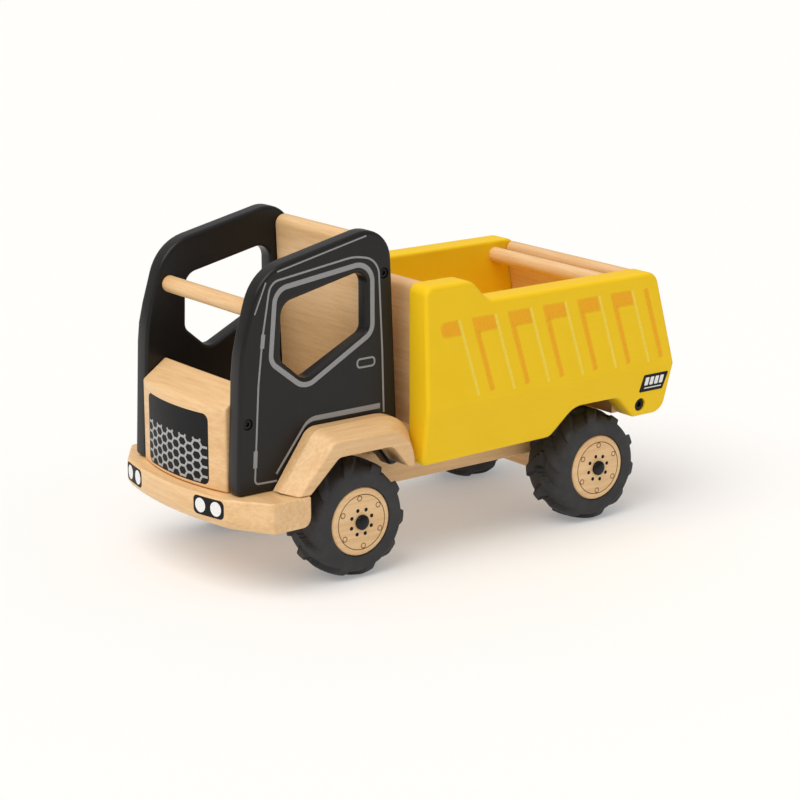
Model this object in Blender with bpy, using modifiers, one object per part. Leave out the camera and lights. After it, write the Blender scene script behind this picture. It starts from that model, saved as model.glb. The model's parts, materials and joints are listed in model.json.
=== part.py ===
"""A wooden toy dump truck with a tipping body, a swinging tailgate and four free wheels.

The frame is +X forward, +Y to the truck's left and +Z up, with the origin on the floor under the
middle of the truck. Outlines are measured from the front axle: each is a list of corners
(x, z, radius), and every piece made from one has its origin on the floor under that axle.
"""

import math

import bmesh
import bpy
from mathutils import Matrix, Vector

# Driving dimensions, in metres.
GAP = 0.0003  # between two pieces that touch
FRONT_AXLE_X = 0.0770
WHEELBASE = 0.1832
WHEEL_RADIUS = 0.0350
AXLE_Z = WHEEL_RADIUS

CHASSIS_HALF_WIDTH = 0.0370
CHASSIS_BOTTOM = 0.0400
CHASSIS_TOP = 0.0630
CHASSIS_FRONT = 0.0362
CHASSIS_REAR = -0.2170
BLOCK_BOTTOM = 0.0260
BLOCK_HALF_WIDTH = 0.0445
BLOCK_LENGTH = 0.0300
AXLE_RADIUS = 0.0030

BUMPER_TOP = 0.0582
BUMPER_BACK = 0.0365
BUMPER_FRONT = 0.0875
BUMPER_HALF_WIDTH = 0.0775
BUMPER_CHAMFER = 0.0050

CAB_INNER_Y = 0.0446
CAB_BOARD = 0.0113
CAB_OUTER_Y = CAB_INNER_Y + CAB_BOARD
CAB_FOOT = BUMPER_TOP + GAP
WALL_HALF_WIDTH = CAB_INNER_Y - GAP
WINDSCREEN_BAR = (0.0530, 0.1629)
BAR_RADIUS = 0.0050
BAR_SOCKET = 0.0072
CAB_SCREWS = ((0.0653, 0.1003), (-0.0306, 0.1755))

FENDER_INNER_Y = CAB_OUTER_Y + GAP
FENDER_FLAT_Y = 0.0645
FENDER_OUTER_Y = 0.0770

BODY_INNER_Y = 0.0607
BODY_TOP_Y = 0.0775
BODY_CREASE_Y = 0.0800
BODY_BOTTOM_Y = 0.0750
BODY_BOTTOM = 0.0615
BODY_CREASE = 0.0952
BODY_TOP = 0.1554
BODY_FRONT_TOP = 0.1687
BODY_FRONT = -0.0445
BODY_REAR = -0.2415
BODY_FLOOR = (0.0805, 0.0895)
BODY_BOARD_HALF = BODY_INNER_Y - GAP
CROSSBAR = (-0.2095, 0.1460)
PIVOT = (-0.2160, 0.0710)
TAILGATE_HINGE = (-0.2235, 0.1488)
TAILGATE_LENGTH = 0.0648
TAILGATE_THICKNESS = 0.0094
TAILGATE_LEAN = math.atan(0.2)
TAILGATE_HALF_WIDTH = BODY_INNER_Y - 0.0006

HUB_RADIUS = 0.0206
HUB_INNER_Y = 0.0465
HUB_OUTER_Y = 0.0747
TYRE_INNER_Y = 0.0412
TYRE_OUTER_Y = 0.0732
CAP_RADIUS = 0.0045

ARC_STEPS = 4
SIDES = (("left", 1), ("right", -1))
AXLES = (("front", 0.0), ("rear", -WHEELBASE))


# Materials.
def finish(name, colour, roughness, metallic=0.0):
    """A plain Principled material."""
    made = bpy.data.materials.new(name)
    made.use_nodes = True
    shader = made.node_tree.nodes["Principled BSDF"]
    shader.inputs["Base Color"].default_value = (*colour, 1.0)
    shader.inputs["Roughness"].default_value = roughness
    shader.inputs["Metallic"].default_value = metallic
    return made


# Scene helpers.
def clear_scene():
    for old in list(bpy.data.objects):
        bpy.data.objects.remove(old, do_unlink=True)


def new_collection(name):
    made = bpy.data.collections.new(name)
    bpy.context.scene.collection.children.link(made)
    return made


def new_empty(name, x, z, parent=None):
    """An empty on a joint axis, at x from the front axle and z from the floor."""
    made = bpy.data.objects.new(name, None)
    made.empty_display_size = 0.02
    made.location = (FRONT_AXLE_X + x, 0, z)
    TRUCK.objects.link(made)
    bpy.context.view_layer.update()
    if parent:
        attach(made, parent)
    return made


def attach(piece, parent):
    """Parent a piece without moving it."""
    piece.parent = parent
    piece.matrix_parent_inverse = parent.matrix_world.inverted()


def finish_piece(piece, material, parent=None):
    """Give a piece its material and smooth shading, and put it under its empty."""
    piece.data.materials.clear()
    piece.data.materials.append(material)
    piece.data.shade_smooth()
    piece.data.set_sharp_from_angle(angle=math.radians(35))
    if parent:
        attach(piece, parent)
    return piece


def from_bmesh(name, shape, collection=None):
    """An object in the truck's collection, or in another, from a bmesh."""
    mesh = bpy.data.meshes.new(name)
    shape.to_mesh(mesh)
    shape.free()
    made = bpy.data.objects.new(name, mesh)
    (collection or TRUCK).objects.link(made)
    return made


def round_edges(piece, width, segments=2):
    bevel = piece.modifiers.new("rounded_edges", "BEVEL")
    bevel.width = width
    bevel.segments = segments
    bevel.limit_method = "ANGLE"
    bevel.angle_limit = math.radians(40)


# Shapes.
def arc_corner(before, corner, after, radius, steps):
    """The points of the arc that rounds one corner of an outline."""
    here = Vector(corner)
    back = (Vector(before) - here).normalized()
    ahead = (Vector(after) - here).normalized()
    half_angle = back.angle(ahead) / 2
    reach = radius / math.tan(half_angle)
    centre = here + (back + ahead).normalized() * (radius / math.sin(half_angle))
    start = here + back * reach - centre
    turn = start.angle_signed(here + ahead * reach - centre)
    return [centre + Matrix.Rotation(-turn * i / steps, 2) @ start for i in range(steps + 1)]


def rounded_outline(corners, steps=ARC_STEPS):
    """The points of a closed outline whose corners (a, b, radius) are rounded."""
    points = []
    for i, (a, b, radius) in enumerate(corners):
        if radius:
            before = corners[i - 1][:2]
            after = corners[(i + 1) % len(corners)][:2]
            points += arc_corner(before, (a, b), after, radius, steps)
        else:
            points.append(Vector((a, b)))
    return points


def board(name, outlines, thickness, middle_y=0.0):
    """A flat board standing along X, cut to its first outline with the others as holes."""
    curve = bpy.data.curves.new(name, "CURVE")
    curve.dimensions = "2D"
    curve.fill_mode = "BOTH"
    curve.extrude = thickness / 2
    for outline in outlines:
        spline = curve.splines.new("POLY")
        spline.points.add(len(outline) - 1)
        spline.use_cyclic_u = True
        for point, (a, b) in zip(spline.points, outline):
            point.co = (a, b, 0, 1)
    drawn = bpy.data.objects.new(name + "_outline", curve)
    drawn.rotation_euler = (math.pi / 2, 0, 0)
    drawn.location = (FRONT_AXLE_X, middle_y, 0)
    TRUCK.objects.link(drawn)
    bpy.context.view_layer.update()
    graph = bpy.context.evaluated_depsgraph_get()
    mesh = bpy.data.meshes.new_from_object(drawn.evaluated_get(graph))
    shape = bmesh.new()
    shape.from_mesh(mesh)
    bmesh.ops.remove_doubles(shape, verts=shape.verts, dist=0.00001)
    bmesh.ops.recalc_face_normals(shape, faces=shape.faces)
    bpy.data.meshes.remove(mesh)
    made = from_bmesh(name, shape)
    made.matrix_world = drawn.matrix_world.copy()
    bpy.data.objects.remove(drawn, do_unlink=True)
    return made


def loft(name, sections):
    """A solid through outlines of equally many points, each at its own y across the truck."""
    shape = bmesh.new()
    rings = [[shape.verts.new((a, y, b)) for a, b in outline] for y, outline in sections]
    shape.faces.new(rings[0])
    shape.faces.new(rings[-1])
    for near, far in zip(rings, rings[1:]):
        for i in range(len(near)):
            shape.faces.new((near[i - 1], near[i], far[i], far[i - 1]))
    bmesh.ops.recalc_face_normals(shape, faces=shape.faces)
    made = from_bmesh(name, shape)
    made.location = (FRONT_AXLE_X, 0, 0)
    return made


def block(name, x_range, half_width, z_range, edge=0.001):
    """A box across the truck from -half_width to half_width, x from the front axle."""
    shape = bmesh.new()
    bmesh.ops.create_cube(shape, size=1)
    length = x_range[1] - x_range[0]
    height = z_range[1] - z_range[0]
    bmesh.ops.scale(shape, vec=(length, 2 * half_width, height), verts=shape.verts)
    made = from_bmesh(name, shape)
    made.location = (FRONT_AXLE_X + sum(x_range) / 2, 0, sum(z_range) / 2)
    if edge:
        round_edges(made, edge, 1)
    return made


def rod(name, start, end, radius, sides=20, collection=None):
    """A round rod from start to end, points whose x is from the front axle."""
    start, end = Vector(start), Vector(end)
    shape = bmesh.new()
    bmesh.ops.create_cone(
        shape,
        cap_ends=True,
        segments=sides,
        radius1=radius,
        radius2=radius,
        depth=(end - start).length,
    )
    made = from_bmesh(name, shape, collection)
    made.location = (start + end) / 2 + Vector((FRONT_AXLE_X, 0, 0))
    made.rotation_euler = (end - start).to_track_quat("Z", "Y").to_euler()
    return made


def turned(name, profile, place, direction, steps, closed=False):
    """A piece turned about an axis through a place, from a profile of (radius, height) points.

    Heights run along the direction. The profile runs down its outer side, and a closed one
    makes a ring.
    """
    shape = bmesh.new()
    corners = [shape.verts.new((radius, 0, height)) for radius, height in profile]
    for first, second in zip(corners, corners[1:] + corners[:1] if closed else corners[1:]):
        shape.edges.new((first, second))
    made = from_bmesh(name, shape)
    lathe = made.modifiers.new("turned", "SCREW")
    lathe.steps = steps
    lathe.render_steps = steps
    lathe.use_merge_vertices = True
    lathe.merge_threshold = 0.00001
    made.location = Vector(place) + Vector((FRONT_AXLE_X, 0, 0))
    made.rotation_euler = Vector(direction).to_track_quat("Z", "Y").to_euler()
    return made


def screw(name, head_face, inward, length, head_radius, shank_radius, head_height=0.0024):
    """A flat-headed screw whose head's outer face is centred on a point, pointing inward."""
    profile = (
        (0, length),
        (shank_radius, length),
        (shank_radius, head_height),
        (head_radius, head_height),
        (head_radius, 0),
        (0, 0),
    )
    return turned(name, profile, head_face, inward, 12)


def bore(piece, name, start, end, radius, sides=20):
    """Cut a round hole from start to end, points whose x is from the front axle."""
    cutter = rod(f"{piece.name}_{name}_cutter", start, end, radius, sides, collection=CUTTERS)
    cutter.hide_render = True
    cutter.display_type = "WIRE"
    cut = piece.modifiers.new(name, "BOOLEAN")
    cut.operation = "DIFFERENCE"
    cut.solver = "EXACT"
    cut.object = cutter


# Chassis and cab.
def make_chassis(parent):
    """The long board under everything, and an axle block screwed under it at each axle."""
    chassis = block(
        "chassis_board",
        (CHASSIS_REAR, CHASSIS_FRONT),
        CHASSIS_HALF_WIDTH,
        (CHASSIS_BOTTOM, CHASSIS_TOP),
        0.0015,
    )
    for end, axle_x in AXLES:
        axle_block = block(
            f"{end}_axle_block",
            (axle_x - BLOCK_LENGTH / 2, axle_x + BLOCK_LENGTH / 2),
            BLOCK_HALF_WIDTH,
            (BLOCK_BOTTOM, CHASSIS_BOTTOM - GAP),
            0.0015,
        )
        reach = BLOCK_HALF_WIDTH + 0.002
        bore(axle_block, "axle_bore", (axle_x, -reach, AXLE_Z), (axle_x, reach, AXLE_Z), 0.0033)
        for side, sign in SIDES:
            x, y = axle_x + 0.0095 * sign, 0.025 * sign
            name = f"{end}_block_screw_{side}"
            foot = (x, y, BLOCK_BOTTOM)
            finish_piece(
                screw(name, (x, y, BLOCK_BOTTOM + 0.0004), (0, 0, 1), 0.0240, 0.0030, 0.0016),
                BLACK_STEEL,
                parent,
            )
            bore(axle_block, f"hole_{side}", foot, (x, y, CHASSIS_BOTTOM + 0.001), 0.0019, 12)
            bore(axle_block, f"sink_{side}", (x, y, 0.025), (x, y, BLOCK_BOTTOM + 0.0031), 0.0033, 12)
            bore(
                chassis,
                f"{end}_{side}",
                (x, y, CHASSIS_BOTTOM - 0.001),
                (x, y, BLOCK_BOTTOM + 0.0252),
                0.0019,
                12,
            )
        finish_piece(axle_block, WOOD, parent)
    return finish_piece(chassis, WOOD, parent)


def make_bumper(parent):
    """A thick board with a bowed front and cut-off corners, chamfered under its front and back."""
    corner_y, corner_x = 0.0530, 0.0804
    bow = BUMPER_FRONT - corner_x
    shape = bmesh.new()
    front = [
        (corner_x + bow * (1 - (y / corner_y) ** 2), y)
        for y in (corner_y * i / 6 for i in range(-6, 7))
    ]
    ends = [(0.0630, BUMPER_HALF_WIDTH), (BUMPER_BACK, BUMPER_HALF_WIDTH)]
    outline = front + ends + [(x, -y) for x, y in reversed(ends)]
    corners = [shape.verts.new((x, y, CHASSIS_BOTTOM + BUMPER_CHAMFER)) for x, y in outline]
    shape.faces.new(corners)
    grown = bmesh.ops.extrude_face_region(shape, geom=shape.faces[:])
    top = [v for v in grown["geom"] if isinstance(v, bmesh.types.BMVert)]
    height = BUMPER_TOP - CHASSIS_BOTTOM - BUMPER_CHAMFER
    bmesh.ops.translate(shape, vec=(0, 0, height), verts=top)
    bmesh.ops.recalc_face_normals(shape, faces=shape.faces)
    under = min(shape.faces, key=lambda face: face.calc_center_median().z)
    grown = bmesh.ops.extrude_face_region(shape, geom=[under])
    bmesh.ops.delete(shape, geom=[under], context="FACES_ONLY")
    middle_x = (BUMPER_FRONT + BUMPER_BACK) / 2
    drawn_in = 1 - BUMPER_CHAMFER / (BUMPER_FRONT - middle_x)
    for corner in grown["geom"]:
        if isinstance(corner, bmesh.types.BMVert):
            x = middle_x + (corner.co.x - middle_x) * drawn_in
            corner.co = (x, corner.co.y, CHASSIS_BOTTOM)
    bmesh.ops.recalc_face_normals(shape, faces=shape.faces)
    bumper = from_bmesh("front_bumper", shape)
    bumper.location = (FRONT_AXLE_X, 0, 0)
    round_edges(bumper, 0.0015, 1)
    return finish_piece(bumper, WOOD, parent)


def make_grille_board(parent):
    """The thick board across the cab's front, bowed in plan, with a sloping top."""
    back_x, front_x, bulge = 0.0560, 0.0730, 0.0072
    profile = (
        (back_x, CAB_FOOT),
        (front_x, CAB_FOOT),
        (front_x, 0.1080),
        (back_x, 0.1202),
    )
    shape = bmesh.new()
    side = shape.faces.new([shape.verts.new((x, -WALL_HALF_WIDTH, z)) for x, z in profile])
    grown = bmesh.ops.extrude_face_region(shape, geom=[side])
    far = [v for v in grown["geom"] if isinstance(v, bmesh.types.BMVert)]
    bmesh.ops.translate(shape, vec=(0, 2 * WALL_HALF_WIDTH, 0), verts=far)
    strips = 8
    for i in range(1, strips):
        cut_y = WALL_HALF_WIDTH * (2 * i / strips - 1)
        everything = shape.verts[:] + shape.edges[:] + shape.faces[:]
        bmesh.ops.bisect_plane(shape, geom=everything, plane_co=(0, cut_y, 0), plane_no=(0, 1, 0))
    for corner in shape.verts:
        if corner.co.x > (back_x + front_x) / 2:
            corner.co.x += bulge * (1 - (corner.co.y / WALL_HALF_WIDTH) ** 2)
    bmesh.ops.recalc_face_normals(shape, faces=shape.faces)
    grille = from_bmesh("grille_board", shape)
    grille.location = (FRONT_AXLE_X, 0, 0)
    round_edges(grille, 0.0010, 1)
    return finish_piece(grille, WOOD, parent)


def make_rear_wall(parent):
    """The upright board behind the cab, leaning back a little, with a full-round top edge."""
    outline = rounded_outline(
        (
            (-0.0281, CHASSIS_TOP + GAP, 0),
            (-0.0227, 0.1960, 0.0058),
            (-0.0349, 0.1960, 0.0058),
            (-0.0403, CHASSIS_TOP + GAP, 0),
        ),
        5,
    )
    wall = board("cab_rear_wall", [outline], 2 * WALL_HALF_WIDTH)
    return finish_piece(wall, WOOD, parent)


def cab_outline():
    """The cab side: straight foot cut out over the wheel, bowed front, sloping roof."""
    return rounded_outline(
        (
            (0.0729, CAB_FOOT, 0.0030),
            (0.0695, 0.1400, 0.0900),
            (0.0553, 0.1865, 0.0300),
            (-0.0352, 0.2062, 0.0190),
            (-0.0415, CAB_FOOT, 0.0030),
            (-0.0352, CAB_FOOT, 0.0030),
            (-0.0215, 0.0772, 0.0060),
            (0.0165, 0.0772, 0.0060),
            (0.0366, CAB_FOOT, 0.0030),
        )
    )


def window_outline():
    """The side window: level sill at the front, rising to the rear, under a sloping head."""
    return rounded_outline(
        (
            (0.0255, 0.1198, 0.0080),
            (-0.0193, 0.1420, 0.0060),
            (-0.0193, 0.1796, 0.0080),
            (0.0410, 0.1666, 0.0090),
            (0.0420, 0.1340, 0.0060),
        )
    )


def make_cab(parent):
    """Two side boards, the screws through them, the rear wall, the grille board and the bar."""
    grille = make_grille_board(parent)
    wall = make_rear_wall(parent)
    bar_reach = CAB_INNER_Y + BAR_SOCKET
    bar_x, bar_z = WINDSCREEN_BAR
    bar = rod(
        "windscreen_bar",
        (bar_x, -bar_reach + GAP, bar_z),
        (bar_x, bar_reach - GAP, bar_z),
        BAR_RADIUS,
        24,
    )
    finish_piece(bar, WOOD, parent)
    for side, sign in SIDES:
        panel = board(
            f"cab_side_{side}",
            [cab_outline(), window_outline()],
            CAB_BOARD,
            sign * (CAB_INNER_Y + CAB_BOARD / 2),
        )
        round_edges(panel, 0.0028)
        inside = sign * (CAB_INNER_Y - 0.002)
        socket = sign * (bar_reach + GAP)
        bore(panel, "bar_socket", (bar_x, inside, bar_z), (bar_x, socket, bar_z), 0.0053, 24)
        for place, board_behind, (x, z) in zip(("front", "rear"), (grille, wall), CAB_SCREWS):
            outside = sign * (CAB_OUTER_Y + 0.002)
            seat = sign * (CAB_OUTER_Y - 0.0031)
            tip = sign * (WALL_HALF_WIDTH - 0.0140)
            bore(panel, f"{place}_hole", (x, inside, z), (x, outside, z), 0.0019, 12)
            bore(panel, f"{place}_sink", (x, seat, z), (x, outside, z), 0.0034, 16)
            bore(board_behind, f"{side}_hole", (x, tip, z), (x, outside, z), 0.0019, 12)
            name = f"cab_screw_{place}_{side}"
            face = (x, sign * (CAB_OUTER_Y - 0.0003), z)
            finish_piece(screw(name, face, (0, -sign, 0), 0.0240, 0.0031, 0.0016), BLACK_STEEL, parent)
        finish_piece(panel, BLACK_PAINT, parent)
        make_fender(side, sign, parent)
    for side, sign in SIDES:
        for name, top_board, lower, x, level in (
            ("grille_board_peg", grille, BUMPER, 0.0640, BUMPER_TOP),
            ("rear_wall_peg", wall, CHASSIS, -0.0343, CHASSIS_TOP),
        ):
            y = 0.022 * sign
            place_peg(f"{name}_{side}", (top_board, lower), (x, y, level), (0, 0, 1), parent)
        place_peg(
            f"bumper_peg_{side}",
            (CHASSIS, BUMPER),
            (CHASSIS_FRONT, 0.022 * sign, 0.0515),
            (1, 0, 0),
            parent,
        )


def place_peg(name, boards, middle, direction, parent, radius=0.0030, reach=0.0080):
    """A glued wooden peg across the joint between two boards, in a hole in each."""
    middle, direction = Vector(middle), Vector(direction)
    for joined in boards:
        hole = direction * (reach + 2 * GAP)
        bore(joined, f"{name}_hole", middle - hole, middle + hole, radius + GAP, 12)
    peg = rod(name, middle - direction * reach, middle + direction * reach, radius, 12)
    return finish_piece(peg, WOOD, parent)


def make_fender(side, sign, parent):
    """An arched guard on the cab side: level top, then sloping down to a smaller outer face."""
    arch = (
        (-0.0335, 0.0628, 0),
        (-0.0215, 0.0772, 0.0060),
        (0.0165, 0.0772, 0.0060),
        (0.0368, CAB_FOOT, 0),
    )
    inner_top = (
        (0.0500, CAB_FOOT, 0),
        (0.0255, 0.0928, 0.0100),
        (-0.0428, 0.0928, 0.0210),
        (-0.0437, 0.0628, 0),
    )
    outer_top = (
        (0.0450, CAB_FOOT, 0),
        (0.0197, 0.0862, 0.0090),
        (-0.0360, 0.0862, 0.0200),
        (-0.0375, 0.0628, 0),
    )
    inner, outer = rounded_outline(arch + inner_top), rounded_outline(arch + outer_top)
    sections = (
        (sign * FENDER_INNER_Y, inner),
        (sign * FENDER_FLAT_Y, inner),
        (sign * FENDER_OUTER_Y, outer),
    )
    fender = loft(f"fender_{side}", sections)
    round_edges(fender, 0.0015, 1)
    return finish_piece(fender, WOOD, parent)


# Tipping body.
def body_outline():
    """A body side: raised front lug, level top, leaning rear edge, arch over the wheel."""
    return rounded_outline(
        (
            (BODY_FRONT, BODY_BOTTOM - 0.0015, 0.0040),
            (BODY_FRONT, BODY_FRONT_TOP, 0.0060),
            (-0.0790, BODY_FRONT_TOP, 0.0120),
            (-0.0915, BODY_TOP, 0.0080),
            (-0.2262, BODY_TOP, 0.0090),
            (BODY_REAR, BODY_CREASE, 0.0060),
            (-0.2368, BODY_BOTTOM + 0.0013, 0.0090),
            (-0.2120, BODY_BOTTOM + 0.0013, 0.0050),
            (-0.1970, 0.0783, 0.0080),
            (-0.1610, 0.0783, 0.0160),
            (-0.1435, BODY_BOTTOM, 0.0080),
        )
    )


def outer_face_y(z):
    """How far out a body side reaches at a height: widest along the crease."""
    if z > BODY_CREASE:
        slope = (BODY_TOP_Y - BODY_CREASE_Y) / (BODY_FRONT_TOP - BODY_CREASE)
    else:
        slope = (BODY_BOTTOM_Y - BODY_CREASE_Y) / (BODY_BOTTOM - BODY_CREASE)
    return BODY_CREASE_Y + slope * (z - BODY_CREASE)


def make_body_side(side, sign, parent):
    """A thick side board whose outer face folds along a crease."""
    shape = bmesh.new()
    outline = body_outline()
    cap = shape.faces.new([shape.verts.new((x, BODY_INNER_Y, z)) for x, z in outline])
    grown = bmesh.ops.extrude_face_region(shape, geom=[cap])["geom"]
    outer = [v for v in grown if isinstance(v, bmesh.types.BMVert)]
    bmesh.ops.translate(shape, vec=(0, BODY_CREASE_Y - BODY_INNER_Y, 0), verts=outer)
    everything = shape.verts[:] + shape.edges[:] + shape.faces[:]
    bmesh.ops.bisect_plane(shape, geom=everything, plane_co=(0, 0, BODY_CREASE), plane_no=(0, 0, 1))
    for corner in shape.verts:
        if corner.co.y > BODY_INNER_Y + 0.001:
            corner.co.y = outer_face_y(corner.co.z)
    bmesh.ops.scale(shape, vec=(1, sign, 1), verts=shape.verts)
    bmesh.ops.recalc_face_normals(shape, faces=shape.faces)
    made = from_bmesh(f"body_side_{side}", shape)
    made.location = (FRONT_AXLE_X, 0, 0)
    round_edges(made, 0.0028)
    inside = sign * (BODY_INNER_Y - 0.002)
    for name, (x, z), radius, depth in (
        ("crossbar_socket", CROSSBAR, BAR_RADIUS + GAP, 0.0078),
        ("hinge_pin_socket", TAILGATE_HINGE, 0.0023, 0.0080),
        ("pivot_hole", PIVOT, 0.0023, 0.0250),
    ):
        end = sign * (BODY_INNER_Y + depth)
        bore(made, name, (x, inside, z), (x, end, z), radius, 20)
    x, z = PIVOT
    bore(made, "pivot_sink", (x, sign * 0.0731, z), (x, sign * 0.0850, z), 0.0043, 20)
    return finish_piece(made, YELLOW_PAINT, parent)


def make_body(parent):
    """The load body that tips: two sides, floor, front wall, crossbar and rest batten."""
    for side, sign in SIDES:
        make_body_side(side, sign, parent)
    wall_front, wall_back, wall_top, top_radius = -0.0512, -0.0620, 0.1672, 0.0053
    floor = block("body_floor", (-0.2300, wall_back - GAP), BODY_BOARD_HALF, BODY_FLOOR, 0)
    finish_piece(floor, YELLOW_PAINT, parent)
    outline = rounded_outline(
        (
            (wall_front, BODY_FLOOR[0], 0),
            (wall_front, wall_top, top_radius),
            (wall_back, wall_top, top_radius),
            (wall_back, BODY_FLOOR[0], 0),
        ),
        5,
    )
    wall = board("body_front_wall", [outline], 2 * BODY_BOARD_HALF)
    finish_piece(wall, WOOD, parent)
    rest = block(
        "body_rest_batten", (-0.0800, -0.0620), 0.0300, (CHASSIS_TOP + GAP, BODY_FLOOR[0] - GAP)
    )
    finish_piece(rest, WOOD, parent)
    reach = BODY_INNER_Y + 0.0072
    x, z = CROSSBAR
    crossbar = rod("body_crossbar", (x, -reach, z), (x, reach, z), BAR_RADIUS, 24)
    finish_piece(crossbar, WOOD, parent)


def make_tailgate(parent):
    """A board with a full-round top, hung between the body sides on a pin at each end."""
    half = TAILGATE_THICKNESS / 2
    outline = rounded_outline(
        (
            (-half, half, half - 0.0001),
            (half, half, half - 0.0001),
            (half, -TAILGATE_LENGTH, 0.0010),
            (-half, -TAILGATE_LENGTH, 0.0010),
        )
    )
    gate = board("tailgate", [outline], 2 * TAILGATE_HALF_WIDTH)
    x, z = TAILGATE_HINGE
    hinge = Matrix.Translation((FRONT_AXLE_X + x, 0, z))
    lean = Matrix.Rotation(TAILGATE_LEAN, 4, "Y")
    upright = Matrix.Rotation(math.pi / 2, 4, "X")
    gate.matrix_world = hinge @ lean @ upright
    for side, sign in SIDES:
        inner, outer = sign * 0.0518, sign * 0.0682
        bore(gate, f"pin_socket_{side}", (x, inner - sign * GAP, z), (x, outer, z), 0.0023, 12)
        pin = rod(f"tailgate_pin_{side}", (x, inner, z), (x, outer, z), 0.0020, 12)
        finish_piece(pin, BRIGHT_STEEL, parent)
    return finish_piece(gate, WOOD, parent)


def make_pivot(parent):
    """The bar that the body tips on, across the chassis's tail, and its two pivot screws."""
    x, z = PIVOT
    half, foot = 0.0090, CHASSIS_TOP + GAP
    profile = rounded_outline(
        (
            (x - half, foot, 0),
            (x - half, z + half, half - 0.0002),
            (x + half, z + half, half - 0.0002),
            (x + half, foot, 0),
        ),
        5,
    )
    bar = board("pivot_bar", [profile], 2 * (BODY_INNER_Y - 0.0005))
    for side, sign in SIDES:
        tip = sign * 0.0470
        bore(bar, f"screw_hole_{side}", (x, tip, z), (x, sign * 0.0650, z), 0.0023, 12)
        face = (x, sign * 0.0759, z)
        pivot = screw(f"pivot_screw_{side}", face, (0, -sign, 0), 0.0280, 0.0039, 0.0020)
        finish_piece(pivot, BLACK_STEEL, parent)
    return finish_piece(bar, WOOD, parent)


# Running gear.
def make_axle(end, axle_x, parent):
    """A steel rod through the axle block with a pressed cap on each end."""
    tip = HUB_OUTER_Y + 0.0014
    axle = rod(f"{end}_axle", (axle_x, -tip, AXLE_Z), (axle_x, tip, AXLE_Z), AXLE_RADIUS, 20)
    finish_piece(axle, BRIGHT_STEEL, parent)
    cap_profile = (
        (0, 0.0024),
        (0.0030, 0.0023),
        (CAP_RADIUS - 0.0005, 0.0018),
        (CAP_RADIUS, 0.0010),
        (CAP_RADIUS, 0.0),
        (0.0033, 0.0),
        (0.0033, 0.0014),
        (0, 0.0014),
    )
    for side, sign in SIDES:
        place = (axle_x, sign * (HUB_OUTER_Y + GAP), AXLE_Z)
        cap = turned(f"{end}_axle_cap_{side}", cap_profile, place, (0, sign, 0), 16)
        finish_piece(cap, BLACK_STEEL, parent)


def make_wheel(end, axle_x, side, sign, parent):
    """A wooden hub with a rubber tyre, free on the axle."""
    hub_profile = (
        (0.0033, HUB_OUTER_Y),
        (HUB_RADIUS - 0.0024, HUB_OUTER_Y),
        (HUB_RADIUS - 0.0007, HUB_OUTER_Y - 0.0007),
        (HUB_RADIUS, HUB_OUTER_Y - 0.0024),
        (HUB_RADIUS, HUB_INNER_Y + 0.0010),
        (HUB_RADIUS - 0.0010, HUB_INNER_Y),
        (0.0033, HUB_INNER_Y),
    )
    bead = HUB_RADIUS + GAP
    tyre_profile = (
        (bead, TYRE_OUTER_Y - 0.0012),
        (bead + 0.0030, TYRE_OUTER_Y),
        (0.0285, TYRE_OUTER_Y - 0.0004),
        (0.0328, TYRE_OUTER_Y - 0.0030),
        (WHEEL_RADIUS, TYRE_OUTER_Y - 0.0080),
        (WHEEL_RADIUS, TYRE_INNER_Y + 0.0080),
        (0.0328, TYRE_INNER_Y + 0.0030),
        (0.0285, TYRE_INNER_Y + 0.0004),
        (bead + 0.0030, TYRE_INNER_Y),
        (bead, TYRE_INNER_Y + 0.0012),
    )
    place, direction = (axle_x, 0, AXLE_Z), (0, sign, 0)
    hub = turned(f"{end}_hub_{side}", hub_profile, place, direction, 32, closed=True)
    finish_piece(hub, WOOD, parent)
    tyre = turned(f"{end}_tyre_{side}", tyre_profile, place, direction, 40, closed=True)
    finish_piece(tyre, RUBBER, parent)


clear_scene()
TRUCK = new_collection("toy_dump_truck")
CUTTERS = new_collection("cutters")

WOOD = finish("natural_wood", (0.79, 0.55, 0.30), 0.45)
BLACK_PAINT = finish("black_paint", (0.020, 0.019, 0.018), 0.38)
YELLOW_PAINT = finish("yellow_paint", (0.86, 0.55, 0.025), 0.42)
RUBBER = finish("black_rubber", (0.040, 0.040, 0.042), 0.75)
BLACK_STEEL = finish("black_steel", (0.015, 0.015, 0.015), 0.40, 0.6)
BRIGHT_STEEL = finish("bright_steel", (0.62, 0.62, 0.62), 0.30, 1.0)

truck_origin = new_empty("truck", -FRONT_AXLE_X, 0)
body_pivot = new_empty("body_pivot", *PIVOT, parent=truck_origin)
tailgate_hinge = new_empty("tailgate_hinge", *TAILGATE_HINGE, parent=body_pivot)

CHASSIS = make_chassis(truck_origin)
BUMPER = make_bumper(truck_origin)
make_cab(truck_origin)
make_pivot(truck_origin)
make_body(body_pivot)
make_tailgate(tailgate_hinge)
for axle_end, axle_place in AXLES:
    make_axle(axle_end, axle_place, truck_origin)
    for wheel_side, wheel_sign in SIDES:
        wheel_axis = new_empty(f"{axle_end}_wheel_{wheel_side}", axle_place, AXLE_Z, truck_origin)
        make_wheel(axle_end, axle_place, wheel_side, wheel_sign, wheel_axis)
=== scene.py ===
"""The looks of a wooden toy dump truck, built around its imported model.

Every size is in millimetres, measured from the front axle: x forward, y to the truck's left, z up from the
floor. A flat shape is drawn on a bench, as (a, b) with a height h above the bench, and a Place then lays the
bench's points on the truck. The Workshop turns those places into the model's frame, in metres, and hands
each finished piece to the body that it moves with.
"""

import sys

import json
import logging
import math
from collections.abc import Callable, Sequence
from dataclasses import dataclass, field
from enum import Enum

import bmesh
import bpy
from mathutils import Matrix, Vector

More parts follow.
